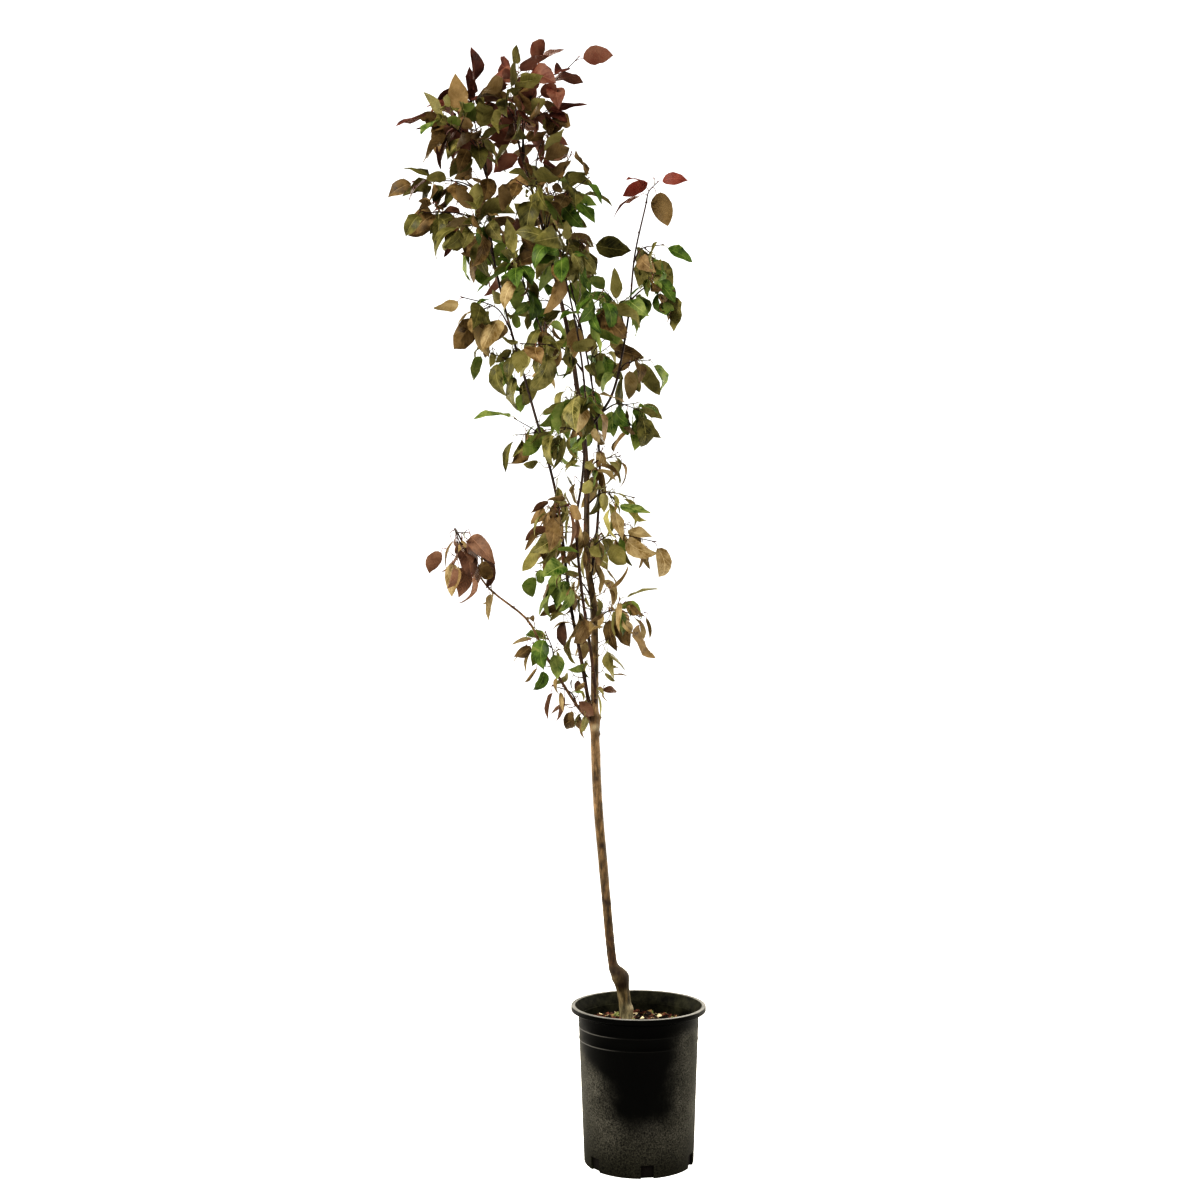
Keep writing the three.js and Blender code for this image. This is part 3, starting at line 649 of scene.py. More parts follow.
def limb_mesh(name, line, radius_at, sides, marks, unevenness):
    """A grid rolled into a tube along a line, with folds, marks and scars raised in its bark."""
    steps = max(8, round(length_of(line) / BARK_STEP))
    bpy.ops.mesh.primitive_grid_add(x_subdivisions=steps, y_subdivisions=sides, size=2)
    piece = bpy.context.object
    piece.name = name
    count = len(piece.data.vertices)
    flat = np.empty(count * 3)
    piece.data.vertices.foreach_get("co", flat)
    flat = flat.reshape(count, 3)
    rows = {}
    side = square_to(tangent(line, 0))[0]
    for t in sorted(set(np.round((flat[:, 0] + 1) / 2, 6))):
        way = tangent(line, t)
        side = unit(side - way * (side @ way))
        rows[t] = (along(line, t), side, np.cross(way, side), radius_at(t))
    places = np.empty((count, 3))
    scars = np.zeros(count)
    for i, (across, around, _) in enumerate(flat):
        middle, first, second, radius = rows[round((across + 1) / 2, 6)]
        turn = math.pi * around
        out = math.cos(turn) * first + math.sin(turn) * second
        at = middle + out * radius
        folds = noise.noise(Vector((out[0] * 2.4, out[1] * 2.4, at[2] / FOLD_LENGTH + len(name))))
        lumps = noise.noise(Vector(at / BARK_LUMP))
        pores = noise.noise(Vector(at / PORE))
        stand = radius * unevenness * (folds + 0.6 * lumps) + PORE_RELIEF * pores
        heading = math.degrees(math.atan2(out[1], out[0]))
        for height, mark_turn, rise, half, dark in marks:
            if abs(at[2] - height) > 3 * half:
                continue
            apart = (heading - mark_turn + 180) % 360 - 180
            wide = math.degrees(min(1.2, 1.3 * half / radius))
            near = hump(at[2], height, half) * hump(apart, 0, wide)
            stand += rise * near
            scars[i] += dark * near
        places[i] = at + out * stand
    piece.data.vertices.foreach_set("co", (places * MM).ravel())
    marking = piece.data.attributes.new("scar", "FLOAT", "POINT")
    marking.data.foreach_set("value", np.clip(scars, -1, 1))
    only(piece)
    bpy.ops.object.mode_set(mode="EDIT")
    bpy.ops.mesh.select_all(action="SELECT")
    bpy.ops.mesh.remove_doubles(threshold=0.00001)
    bpy.ops.mesh.fill_holes(sides=sides)
    bpy.ops.mesh.select_all(action="SELECT")
    bpy.ops.mesh.normals_make_consistent(inside=False)
    bpy.ops.object.mode_set(mode="OBJECT")
    smooth(piece, 50)
    return piece


leader_marks = []
for number in range(LEADER_MARKS):
    roll = dice(710000 + number)
    mark_height = FIRST_LEADER_MARK + LEADER_MARK_STEP * number + 14 * roll()
    leader_marks.append((mark_height, GOLDEN_ANGLE * number, 0.9, 3.2, 0.8))
trunk_line = LIMBS["trunk"]
trunk = limb_mesh(
    "trunk_bark",
    trunk_line,
    lambda t: trunk_radius(along(trunk_line, t)[2]),
    TRUNK_SIDES,
    TRUNK_MARKS + leader_marks,
    0.045,
)


PALE_PORE = shade("8f8062")
CALLUS = shade("b7ab90")


def squashed(tree, place, amount):
    """Places for a pattern that is drawn out along the limb where the amount is under 1."""
    return node(tree, "ShaderNodeMapping", {"Vector": place, "Scale": (1, 1, amount)}).outputs[0]


# Pale pores, and the dark or healed scars that the "scar" attribute raises from the streaks
bark_marks, given, wanted = new_group(
    "Bark marks",
    {
        "Bark": "Color", "Dark": "Color", "Place": "Vector",
        "Flecks": "Float", "Scar": "Float", "Streaks": "Float",
    },
    {"Colour": "Color"},
)
scar = given["Scar"]
finely = squashed(bark_marks, given["Place"], 2.6)
pores = node(bark_marks, "ShaderNodeTexVoronoi", {"Vector": finely, "Scale": 150.0}).outputs["Distance"]
pale = ramp(bark_marks, pores, [(0.0, (1, 1, 1, 1)), (0.13, (0, 0, 0, 1))])
pale = maths(bark_marks, "MULTIPLY", pale, given["Flecks"])
flecked = blended(bark_marks, pale, given["Bark"], PALE_PORE)
broken = maths(bark_marks, "MULTIPLY", scar, given["Streaks"])
whole = maths(bark_marks, "MULTIPLY", scar, 0.45)
scarred = maths(bark_marks, "MULTIPLY_ADD", broken, 0.9, whole, clamped=True)
darker = blended(bark_marks, scarred, flecked, given["Dark"])
healed = maths(bark_marks, "MULTIPLY", scar, -0.8, clamped=True)
bark_marks.links.new(blended(bark_marks, healed, darker, CALLUS), wanted["Colour"])


def bark_material(name, zones, dark, flecks):
    """Smooth young bark: colour zones by height, streaks along the limb, and its marks."""
    material, tree, shader, place = new_material(name, 0.62, 0.35)
    height = node(tree, "ShaderNodeSeparateXYZ", {"Vector": place}).outputs["Z"]
    wander = node(tree, "ShaderNodeTexNoise", {"Vector": place, "Scale": 24.0, "Detail": 3.0}).outputs["Fac"]
    shifted = maths(tree, "MULTIPLY_ADD", wander, 0.12, height)
    zone = ramp(tree, maths(tree, "MULTIPLY", shifted, 1 / (TRUNK_TOP * MM)), zones)
    drawn_out = squashed(tree, place, 0.16)
    streaks = mottled(tree, (0.34, 0.33, 0.3, 1), (1.45, 1.42, 1.34, 1), drawn_out, 190, 3.0, 0.8)
    streaked = blended(tree, 1.0, zone, streaks["Colour"], "MULTIPLY")
    drawn_out = squashed(tree, place, 0.45)
    blotches = mottled(tree, (0.5, 0.48, 0.4, 1), (1.3, 1.32, 1.34, 1), drawn_out, 85, 4.5, 0.5)
    streaked = blended(tree, 1.0, streaked, blotches["Colour"], "MULTIPLY")
    scar = node(tree, "ShaderNodeAttribute", attribute_name="scar").outputs["Fac"]
    marked = group_node(tree, bark_marks, streaked, dark, place, flecks, scar, streaks["Mask"])
    tree.links.new(marked["Colour"], shader.inputs["Base Color"])
    tree.links.new(maths(tree, "MULTIPLY_ADD", streaks["Mask"], 0.3, 0.45), shader.inputs["Roughness"])
    relief(tree, shader, streaks["Mask"], 0.5, 0.7)
    return material


TRUNK_ZONES = [
    (0.158, shade("7d7762")),
    (0.178, shade("65563c")),
    (0.2, shade("4a3420")),
    (0.24, shade("53422c")),
    (0.3, shade("665239")),
    (0.42, shade("786249")),
    (0.5, shade("6a583f")),
    (0.66, shade("402c1e")),
    (1.0, shade("321c12")),
]
trunk.data.materials.append(bark_material("stem_bark", TRUNK_ZONES, shade("2b1c12"), 0.35))
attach(trunk, "root")
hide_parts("trunk")


# Boughs
# The real boughs are one- and two-year shoots that leave the stem steeply at the fork or higher up. They are
# thin, smooth and dark red-brown, with a slight joint and a small bud at each old leaf.
LIMBS.update({
    "bough_low_left": [[-88, 0, 862], [-123, -20, 898], [-184, -60, 996], [-222, -85, 1069],
                       [-300, -115, 1134], [-344, -130, 1212]],
    "bough_left": [[-88, 0, 872], [-101, -9, 912], [-114, -4, 985], [-138, 15, 1106], [-150, 35, 1200],
                   [-172, 45, 1354], [-224, 50, 1546], [-282, 45, 1753], [-310, 38, 1890],
                   [-316, 30, 2010], [-334, 25, 2095]],
    "bough_front": [[-88, 0, 895], [-86, -14, 928], [-97, -25, 1015], [-114, -40, 1130],
                    [-125, -60, 1262], [-112, -92, 1360], [-105, -125, 1480], [-118, -150, 1610],
                    [-145, -165, 1740]],
    "bough_back": [[-98, 0, 1150], [-92, 22, 1195], [-82, 60, 1290], [-78, 105, 1420],
                   [-90, 145, 1570], [-115, 175, 1720], [-140, 190, 1830]],
    "bough_upper_left": [[-136, 0, 1615], [-173, -20, 1625], [-196, -50, 1664], [-220, -80, 1722]],
    "bough_right": [[-110, 0, 1458], [-88, 5, 1490], [-52, 18, 1550], [-30, 28, 1640],
                    [-14, 34, 1745], [-3, 30, 1855], [22, 18, 1968]],
})
BOUGH_RADII = {
    "bough_low_left": (3.4, 1.5),
    "bough_left": (4.2, 1.7),
    "bough_front": (3.8, 1.6),
    "bough_back": (3.4, 1.6),
    "bough_upper_left": (2.4, 1.5),
    "bough_right": (3.2, 1.5),
}
BOUGH_SIDES = 14
JOINT_SPACING = 44  # between two old leaf scars


def limb_radius(name, t):
    if name == "trunk":
        return trunk_radius(along(LIMBS[name], t)[2])
    return mix(*BOUGH_RADII[name], t)


SHOOT_ZONES = [
    (0.42, shade("4e3624")),
    (0.52, shade("3a2418")),
    (0.7, shade("2c1912")),
    (1.0, shade("301610")),
]
TAN_ZONES = [(0.4, shade("4a3424")), (0.44, shade("6b4f38")), (0.6, shade("7a5f46"))]
shoot_bark = bark_material("shoot_bark", SHOOT_ZONES, shade("150b07"), 0.25)
tan_bark = bark_material("tan_shoot_bark", TAN_ZONES, shade("33211a"), 0.25)
for name in BOUGH_RADII:
    line = LIMBS[name]
    joints = []
    for number in range(1, int(length_of(line) / JOINT_SPACING)):
        t = number * JOINT_SPACING / length_of(line)
        joints.append((along(line, t)[2], GOLDEN_ANGLE * number, 0.7, 2.6, 0.8))
    bough = limb_mesh(
        name + "_bark", line, lambda t, name=name: limb_radius(name, t), BOUGH_SIDES, joints, 0.04
    )
    bough.data.materials.append(tan_bark if name == "bough_low_left" else shoot_bark)
    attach(bough, "root")
    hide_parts(name)


# Leaf sprays
# Each spray grows from one side shoot of this or last year: a thin bowed stem, a few short spurs, and leaves
# set spirally round both. The rule that sets them out is repeatable, so each spray keeps its own shape.
GAP = 0.3
STEM_LIFT = 25  # degrees by which a stem starts steeper than it ends
STEM_STEPS = 3
SPUR_LENGTH = 34
LEAVES_ON_A_SPUR = 3
LEAVES_PER_SPUR = 5
LEAF_LENGTH = 88  # stalk and blade
LEAF_HALF_WIDTH = 0.215
LEAF_WIDEST = 0.56
LEAF_TRIES = 6
# How far leaves hang at two heights, and the room kept round each kind of piece
HANG_TOP = 0.25
HANG_LOW = 0.62
HANG_TOP_HEIGHT = 2200
HANG_LOW_HEIGHT = 1500
LEAF_ROOM = 5.5
OWN_LEAF_ROOM = 5
TWIG_ROOM = 4.5
LIMB_ROOM = 3
ROOM_STEP = 9
UP = np.array([0, 0, 1.0])
# Each row: name, limb, share of its length, heading and rise in degrees, reach, leaves and tint
SPRAYS = [
    ["foliage_apex", "trunk", 1, 110, 78, 60, 7, "burgundy"],
    ["foliage_left_leader_tip", "bough_left", 1, 230, 80, 120, 13, "burgundy"],
    ["foliage_far_left_high", "bough_left", 0.946, 205, 34, 150, 9, "burgundy"],
    ["foliage_far_left_middle", "bough_left", 0.855, 180, 20, 172, 11, "brown"],
    ["foliage_far_left_low", "bough_left", 0.801, 210, 10, 165, 11, "brown"],
    ["foliage_left_crown_front", "bough_left", 0.91, 235, 25, 180, 14, "olive"],
    ["foliage_left_crown_back", "bough_left", 0.921, 120, 45, 250, 12, "burgundy"],
    ["foliage_left_belly_front", "bough_left", 0.78, 250, 0, 160, 13, "olive"],
    ["foliage_left_belly_back", "bough_left", 0.763, 125, 30, 210, 11, "green"],
    ["foliage_crown_front", "trunk", 0.936, 255, 25, 135, 12, "brown"],
    ["foliage_crown_back", "trunk", 0.928, 95, 50, 255, 12, "burgundy"],
    ["foliage_top_right_shoot", "trunk", 0.924, 340, 60, 245, 13, "burgundy"],
    ["foliage_middle_shoot", "trunk", 0.89, 80, 70, 210, 7, "brown"],
    ["foliage_right_shoot", "trunk", 0.851, 310, 70, 210, 9, "brown"],
    ["foliage_upper_front", "trunk", 0.876, 255, 10, 170, 12, "olive"],
    ["foliage_upper_back", "trunk", 0.867, 95, 40, 245, 12, "brown"],
    ["foliage_upper_right", "trunk", 0.866, 325, 42, 150, 9, "green"],
    ["foliage_upper_right_back", "trunk", 0.821, 70, 45, 240, 11, "olive"],
    ["foliage_upper_left", "trunk", 0.842, 145, 35, 135, 10, "brown"],
    ["foliage_left_pendant_high", "bough_left", 0.671, 210, 25, 125, 7, "tan"],
    ["foliage_left_pendant_middle", "bough_left", 0.605, 165, 45, 150, 8, "green"],
    ["foliage_left_pendant_low", "bough_left", 0.54, 205, 45, 100, 5, "olive"],
    ["foliage_upper_left_tip", "bough_upper_left", 1, 250, 40, 85, 11, "green"],
    ["foliage_upper_left_side", "bough_upper_left", 0.626, 275, -10, 120, 7, "olive"],
    ["foliage_front_tip", "bough_front", 1, 250, 60, 75, 11, "green"],
    ["foliage_front_right", "bough_front", 0.9, 320, 40, 85, 9, "green"],
    ["foliage_front_left", "bough_front", 0.826, 210, 15, 140, 9, "olive"],
    ["foliage_front_middle", "bough_front", 0.724, 260, 25, 110, 9, "green"],
    ["foliage_front_waist", "bough_front", 0.512, 255, 5, 110, 9, "brown"],
    ["foliage_back_tip", "bough_back", 1, 125, 70, 155, 11, "olive"],
    ["foliage_back_left", "bough_back", 0.85, 155, 35, 160, 10, "green"],
    ["foliage_back_right", "bough_back", 0.714, 55, 60, 140, 10, "olive"],
    ["foliage_back_middle", "bough_back", 0.535, 130, 50, 180, 9, "green"],
    ["foliage_right_tip", "bough_right", 1, 350, 60, 45, 4, "red"],
    ["foliage_right_high", "bough_right", 0.811, 20, 35, 80, 6, "olive"],
    ["foliage_right_outer", "bough_right", 0.687, 325, 0, 108, 9, "green"],
    ["foliage_right_inner", "bough_right", 0.568, 245, 30, 130, 9, "green"],
    ["foliage_right_low", "bough_right", 0.377, 45, 35, 130, 9, "olive"],
    ["foliage_right_droop", "bough_right", 0.234, 335, -5, 92, 9, "green"],
    ["foliage_middle_left", "trunk", 0.683, 195, 10, 85, 9, "green"],
    ["foliage_middle_right", "trunk", 0.656, 40, 35, 110, 9, "tan"],
    ["foliage_waist_right_high", "trunk", 0.642, 335, 5, 105, 7, "yellow"],
    ["foliage_waist_right_tip", "trunk", 0.613, 10, 10, 145, 8, "tan"],
    ["foliage_waist_left", "trunk", 0.624, 170, 0, 105, 9, "brown"],
    ["foliage_waist_back", "trunk", 0.607, 80, 20, 150, 9, "olive"],
    ["foliage_low_left_inner", "trunk", 0.563, 195, 25, 130, 7, "green"],
    ["foliage_low_right", "trunk", 0.538, 335, 5, 100, 9, "tan"],
    ["foliage_low_left_tuft", "bough_low_left", 1, 290, -45, 84, 10, "maroon"],
    ["foliage_low_left_sprig", "bough_low_left", 0.355, 250, 60, 80, 7, "green"],
    ["foliage_fork_tuft", "bough_low_left", 0.201, 215, 35, 70, 5, "maroon"],
]


def direction(heading, rise):
    level = math.cos(math.radians(rise))
    heading = math.radians(heading)
    return np.array([level * math.cos(heading), level * math.sin(heading), math.sin(math.radians(rise))])


def on_stretches(line, t):
    """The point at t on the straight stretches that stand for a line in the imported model."""
    whole = min(math.floor(STEM_STEPS * t), STEM_STEPS - 1)
    start = along(line, whole / STEM_STEPS)
    return start + (along(line, (whole + 1) / STEM_STEPS) - start) * (STEM_STEPS * t - whole)


def stem_line(spray):
    _, limb, share, heading, rise, reach, _, _ = spray
    line = LIMBS[limb]
    way = tangent(line, 1) if share == 1 else direction(heading, rise + STEM_LIFT)
    foot = along(line, 1) + GAP * way if share == 1 else along(line, share)
    return [foot, foot + 0.45 * reach * way, foot + reach * direction(heading, rise)]


def outward(way, turn):
    first, second = square_to(way)
    return math.cos(math.radians(turn)) * first + math.sin(math.radians(turn)) * second


def spur_lines(spray, index, stem):
    count = spray[6] // LEAVES_PER_SPUR
    spurs = []
    for i in range(count):
        roll = dice(1000 * (index + 1) + 500 + i)
        share = mix(0.3, 0.85, (i + 0.5) / count)
        foot = on_stretches(stem, share)
        way = tangent(stem, share)
        out = outward(way, GOLDEN_ANGLE * i + 360 * roll())
        aim = unit(0.6 * way + out + 0.25 * UP)
        spurs.append([foot, foot + SPUR_LENGTH * mix(0.7, 1.3, roll()) * aim])
    return spurs


def leaf_frame(line, share, turn, is_tip, hang, roll):
    """Where a leaf lies: its foot, first way, way to the tip, side, face and length."""
    foot = on_stretches(line, share)
    way = tangent(line, share)
    out = outward(way, turn)
    start = unit(way + 0.35 * out) if is_tip else unit(out + 0.45 * way)
    down = clamp(hang * mix(0.55, 1.45, roll()))
    aim = unit((1 - down) * start - down * UP)
    flat = unit(np.cross(aim, unit(0.65 * out + 0.75 * UP)))
    lean = math.radians(mix(-40, 40, roll()))
    side = math.cos(lean) * flat + math.sin(lean) * np.cross(aim, flat)
    size = LEAF_LENGTH * mix(0.72, 1.18, roll())
    return {
        "foot": foot, "grown_from": along(line, share), "start": start, "aim": aim, "side": side,
        "face": np.cross(side, aim), "size": size, "roll": roll,
    }


def leaf_points(leaf):
    points = []
    for share in (0.2, 0.4, 0.6, 0.8, 1):
        half = 0.75 * leaf["size"] * LEAF_HALF_WIDTH * max(0, 1 - abs(share - LEAF_WIDEST) * 2)
        for across in (-1, 0, 1):
            points.append(leaf["foot"] + share * leaf["size"] * leaf["aim"] + across * half * leaf["side"])
    return np.array(points)


def line_points(line):
    count = math.ceil(length_of(line) / ROOM_STEP)
    return np.array([along(line, i / count) for i in range(count + 1)])


# Everything placed so far: place, room and owner, in rows that are filled one after another
taken = np.zeros((60000, 5))
filled = 0


def take(points, rooms, owner):
    global filled
    rows = slice(filled, filled + len(points))
    taken[rows, :3] = points
    taken[rows, 3] = rooms
    taken[rows, 4] = owner
    filled += len(points)


def is_free(points, room, owner, own_room):
    others = taken[:filled]
    low, high = points.min(axis=0) - 30, points.max(axis=0) + 30
    others = others[np.all((others[:, :3] > low) & (others[:, :3] < high), axis=1)]
    own = others[:, 4] == owner
    others = others[~own | (others[:, 3] == LEAF_ROOM)]
    if not len(others):
        return True
    least = np.where(others[:, 4] == owner, 2 * own_room, room + others[:, 3])
    apart = ((points[:, None, :] - others[None, :, :3]) ** 2).sum(axis=2)
    return bool(np.all(apart >= least**2))


def hang_at(z):
    return mix(HANG_LOW, HANG_TOP, clamp((z - HANG_LOW_HEIGHT) / (HANG_TOP_HEIGHT - HANG_LOW_HEIGHT)))


for number, (name, line) in enumerate(LIMBS.items()):
    points = line_points(line)
    rooms = [limb_radius(name, i / (len(points) - 1)) + LIMB_ROOM for i in range(len(points))]
    take(points, rooms, -1 - number)
plans = [
    {"spray": spray, "index": index, "stem": stem_line(spray), "spurs": [], "leaves": []}
    for index, spray in enumerate(SPRAYS)
]
for plan in plans:
    take(line_points(plan["stem"]), TWIG_ROOM, plan["index"])
for plan in plans:
    for spur in spur_lines(plan["spray"], plan["index"], plan["stem"]):
        points = line_points(spur)
        if is_free(points, TWIG_ROOM, plan["index"], 0):
            take(points, TWIG_ROOM, plan["index"])
            plan["spurs"].append(spur)
for plan in plans:
    leaf_count = plan["spray"][6]
    on_spurs = len(plan["spurs"]) * LEAVES_ON_A_SPUR
    for i in range(leaf_count):
        if i < on_spurs:
            line, order = plan["spurs"][i // LEAVES_ON_A_SPUR], i % LEAVES_ON_A_SPUR
            share = mix(0.6, 0.97, order / (LEAVES_ON_A_SPUR - 1))
            is_tip = order == LEAVES_ON_A_SPUR - 1
        else:
            line, order = plan["stem"], i - on_spurs
            share = mix(0.97, 0.3, order / max(1, leaf_count - on_spurs - 1))
            is_tip = order == 0
        for attempt in range(LEAF_TRIES):
            roll = dice(1000 * (plan["index"] + 1) + 8 * i + attempt)
            turn = GOLDEN_ANGLE * i + 80 * attempt + 40 * roll()
            leaf = leaf_frame(line, share, turn, is_tip, hang_at(line[1][2]), roll)
            points = leaf_points(leaf)
            if is_free(points, LEAF_ROOM, plan["index"], OWN_LEAF_ROOM):
                take(points, LEAF_ROOM, plan["index"])
                plan["leaves"].append(leaf)
                break


def keep(plan, leaf, low=-math.inf, high=math.inf):
    """Adds a finer leaf to a plan's own if it stays between two corners and in free room."""
    points = leaf_points(leaf)
    inside = np.all((points > low) & (points < high))
    if inside and is_free(points[3:], FINE_ROOM, plan["index"], FINE_ROOM):
        take(points, LEAF_ROOM, plan["index"])
        plan["leaves"].append(leaf)
        return True
    return False


# Finer twigs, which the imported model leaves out, with smaller leaves inside the same reach
FINE_SEED = 2000000
FINE_TWIGS_HIGH = 0.7  # for each leaf of a spray, in the crown
FINE_TWIGS_LOW = 1.4  # and round the waist
FINE_LENGTHS = [9, 30]
FINE_LEAF_SIZES = [0.5, 0.86]
FINE_ROOM = 2.2
REACH_MARGIN = 4
DRY_BELOW = 1480  # the height below which many leaves have dried
for plan in plans:
    name = plan["spray"][0]
    low, high = (np.array(corner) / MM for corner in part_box(name))
    low, high = low - REACH_MARGIN, high + REACH_MARGIN
    plan["twigs"] = []
    density = FINE_TWIGS_LOW if plan["stem"][0][2] < DRY_BELOW else FINE_TWIGS_HIGH
    for i in range(round(density * plan["spray"][6])):
        roll = dice(FINE_SEED + 1000 * (plan["index"] + 1) + i)
        parents = [plan["stem"], plan["stem"], *plan["spurs"]]
        line = parents[int(roll() * len(parents))]
        share = mix(0.25, 0.95, roll())
        way = tangent(line, share)
        out = outward(way, 360 * roll())
        aim = unit(0.7 * way + out + 0.3 * UP)
        foot = along(line, share)
        reach = mix(*FINE_LENGTHS, roll())
        twig = [foot, foot + 0.5 * reach * unit(aim + 0.3 * out), foot + reach * aim]
        kept = []
        for order in range(1 + int(2.6 * roll())):
            leaf = leaf_frame(
                twig, 0.98 - 0.3 * order, GOLDEN_ANGLE * (i + order) + 360 * roll(), order == 0,
                hang_at(foot[2]), roll,
            )
            leaf["size"] *= mix(*FINE_LEAF_SIZES, roll())
            kept.append(keep(plan, leaf, low, high))
        if any(kept):
            plan["twigs"].append(twig)

# Short twigs straight on the limbs, between the sprays. Each row: limb, from and to in shares of its length,
# twigs and tint
LIMB_TWIGS = [
    ("trunk", 0.462, 0.505, 5, "olive"),
    ("trunk", 0.505, 0.72, 54, "tan"),
    ("trunk", 0.85, 0.97, 8, "burgundy"),
    ("bough_low_left", 0.06, 0.4, 9, "olive"),
    ("bough_low_left", 0.4, 0.8, 3, "tan"),
    ("bough_low_left", 0.88, 0.99, 6, "maroon"),
    ("bough_left", 0.02, 0.46, 26, "brown"),
    ("bough_left", 0.46, 0.72, 12, "green"),
    ("bough_left", 0.74, 0.92, 18, "brown"),
    ("bough_front", 0.05, 0.5, 20, "olive"),
]
LIMB_TWIG_LENGTHS = [14, 52]
LIMB_LEAF_SIZES = [0.5, 1.0]
LIMB_TWIG_SEED = 3000000
limb_plans = []
for number, (name, first, last, count, tint) in enumerate(LIMB_TWIGS):
    plan = {"spray": [name, tint], "index": len(SPRAYS) + number, "leaves": [], "twigs": []}
    limb_plans.append(plan)
    for i in range(count):
        roll = dice(LIMB_TWIG_SEED + 1000 * number + i)
        share = mix(first, last, (i + roll()) / count)
        way = tangent(LIMBS[name], share)
        out = outward(way, GOLDEN_ANGLE * i + 60 * roll())
        foot = along(LIMBS[name], share) + 0.8 * limb_radius(name, share) * out
        reach = mix(*LIMB_TWIG_LENGTHS, roll() ** 1.5)
        aim = unit(out + 0.5 * way)
        twig = [foot, foot + 0.5 * reach * unit(aim + 0.4 * out), foot + reach * unit(aim + 0.3 * UP)]
        kept = []
        for order in range(1 + int(2.4 * roll())):
            leaf = leaf_frame(
                twig, 0.98 - 0.35 * order, GOLDEN_ANGLE * (i + order), order == 0, hang_at(foot[2]), roll
            )
            leaf["size"] *= mix(*LIMB_LEAF_SIZES, roll())
            kept.append(keep(plan, leaf))
        if any(kept):
            plan["twigs"].append(twig)


# Twigs
# The living side shoots that carry the leaves: wiry stems tapering to a couple of millimetres, knee-bent
# spurs and hair-thin twigs, smooth, dark reddish brown, and slightly swollen where each one starts.
STEM_RADII = (1.7, 0.9)
SPUR_RADII = (1.2, 0.8)
FINE_RADII = (0.8, 0.5)
TWIG_SIDES = 6
COLLAR = 0.7


def tube(line, radii, sides, steps, collar=0.0, kind=0):
    """A thin closed tube along a line, with a swelling at its foot."""
    places, faces = [], []
    side = square_to(tangent(line, 0))[0]
    for i in range(steps + 1):
        t = i / steps
        way = tangent(line, t)
        side = unit(side - way * (side @ way))
        other = np.cross(way, side)
        radius = mix(*radii, t) * (1 + collar * math.exp(-t * 14))
        for j in range(sides):
            turn = 2 * math.pi * j / sides
            places.append(along(line, t) + radius * (math.cos(turn) * side + math.sin(turn) * other))
    for i in range(steps):
        for j in range(sides):
            a, b = i * sides + j, i * sides + (j + 1) % sides
            faces.append([a, b, b + sides, a + sides])
    faces.append(list(range(sides))[::-1])
    faces.append([steps * sides + j for j in range(sides)])
    return places, faces, [kind] * len(faces)


stems, fine = [], []
for plan in plans:
    line = plan["stem"]
    if plan["spray"][2] == 1:
        line = [line[0] - 4 * tangent(line, 0), *line[1:]]
    stems.append(tube(line, STEM_RADII, TWIG_SIDES, 14, COLLAR))
    stems += [tube(spur, SPUR_RADII, TWIG_SIDES, 4, COLLAR) for spur in plan["spurs"]]
for plan in (*plans, *limb_plans):
    fine += [tube(twig, FINE_RADII, 4, 4, COLLAR) for twig in plan["twigs"]]
side_shoots = joined("side_shoots", stems, [shoot_bark])
smooth(side_shoots, 50)

green_wood, tree, shader, place = new_material("green_wood", 0.55, 0.4)
soft = mottled(tree, shade("5a3a28"), shade("6f6a3c"), place, 18, 2.4, 0.4)
tree.links.new(soft["Colour"], shader.inputs["Base Color"])
relief(tree, shader, soft["Grain"], 0.1, 0.4)
fine_twigs = joined("fine_twigs", fine, [green_wood])
smooth(fine_twigs, 50)


# Buds
# Next year's growth: a small pointed dark red bud at the end of each shoot and beside many leaf stalks,
# made of tight overlapping scales that give it a slightly ribbed, glossy surface.
BUD_LENGTH = 6.5
BUD_RADIUS = 1.5
TRUNK_BUDS = 26
FIRST_TRUNK_BUD = 905
TRUNK_BUD_STEP = 47
BUD_SHAPE = [(0.0, 0.6), (0.22, 1.0), (0.5, 0.82), (0.8, 0.4)]  # share of length and of radius


def bud(foot, way, size):
    """A pointed spindle of six sides."""
    first, second = square_to(way)
    places = []
    for share, wide in BUD_SHAPE:
        for j in range(6):
            turn = math.pi * j / 3 + 2 * share
            out = math.cos(turn) * first + math.sin(turn) * second
            places.append(foot + size * (share * BUD_LENGTH * way + wide * BUD_RADIUS * out))
    places.append(foot + size * BUD_LENGTH * way)
    faces = [[5, 4, 3, 2, 1, 0]]
    for i in range(len(BUD_SHAPE) - 1):
        faces += [[6 * i + j, 6 * i + (j + 1) % 6, 6 * i + 6 + (j + 1) % 6, 6 * i + 6 + j] for j in range(6)]
    tip = len(places) - 1
    faces += [[tip - 6 + j, tip - 6 + (j + 1) % 6, tip] for j in range(6)]
    return places, faces, [0] * len(faces)


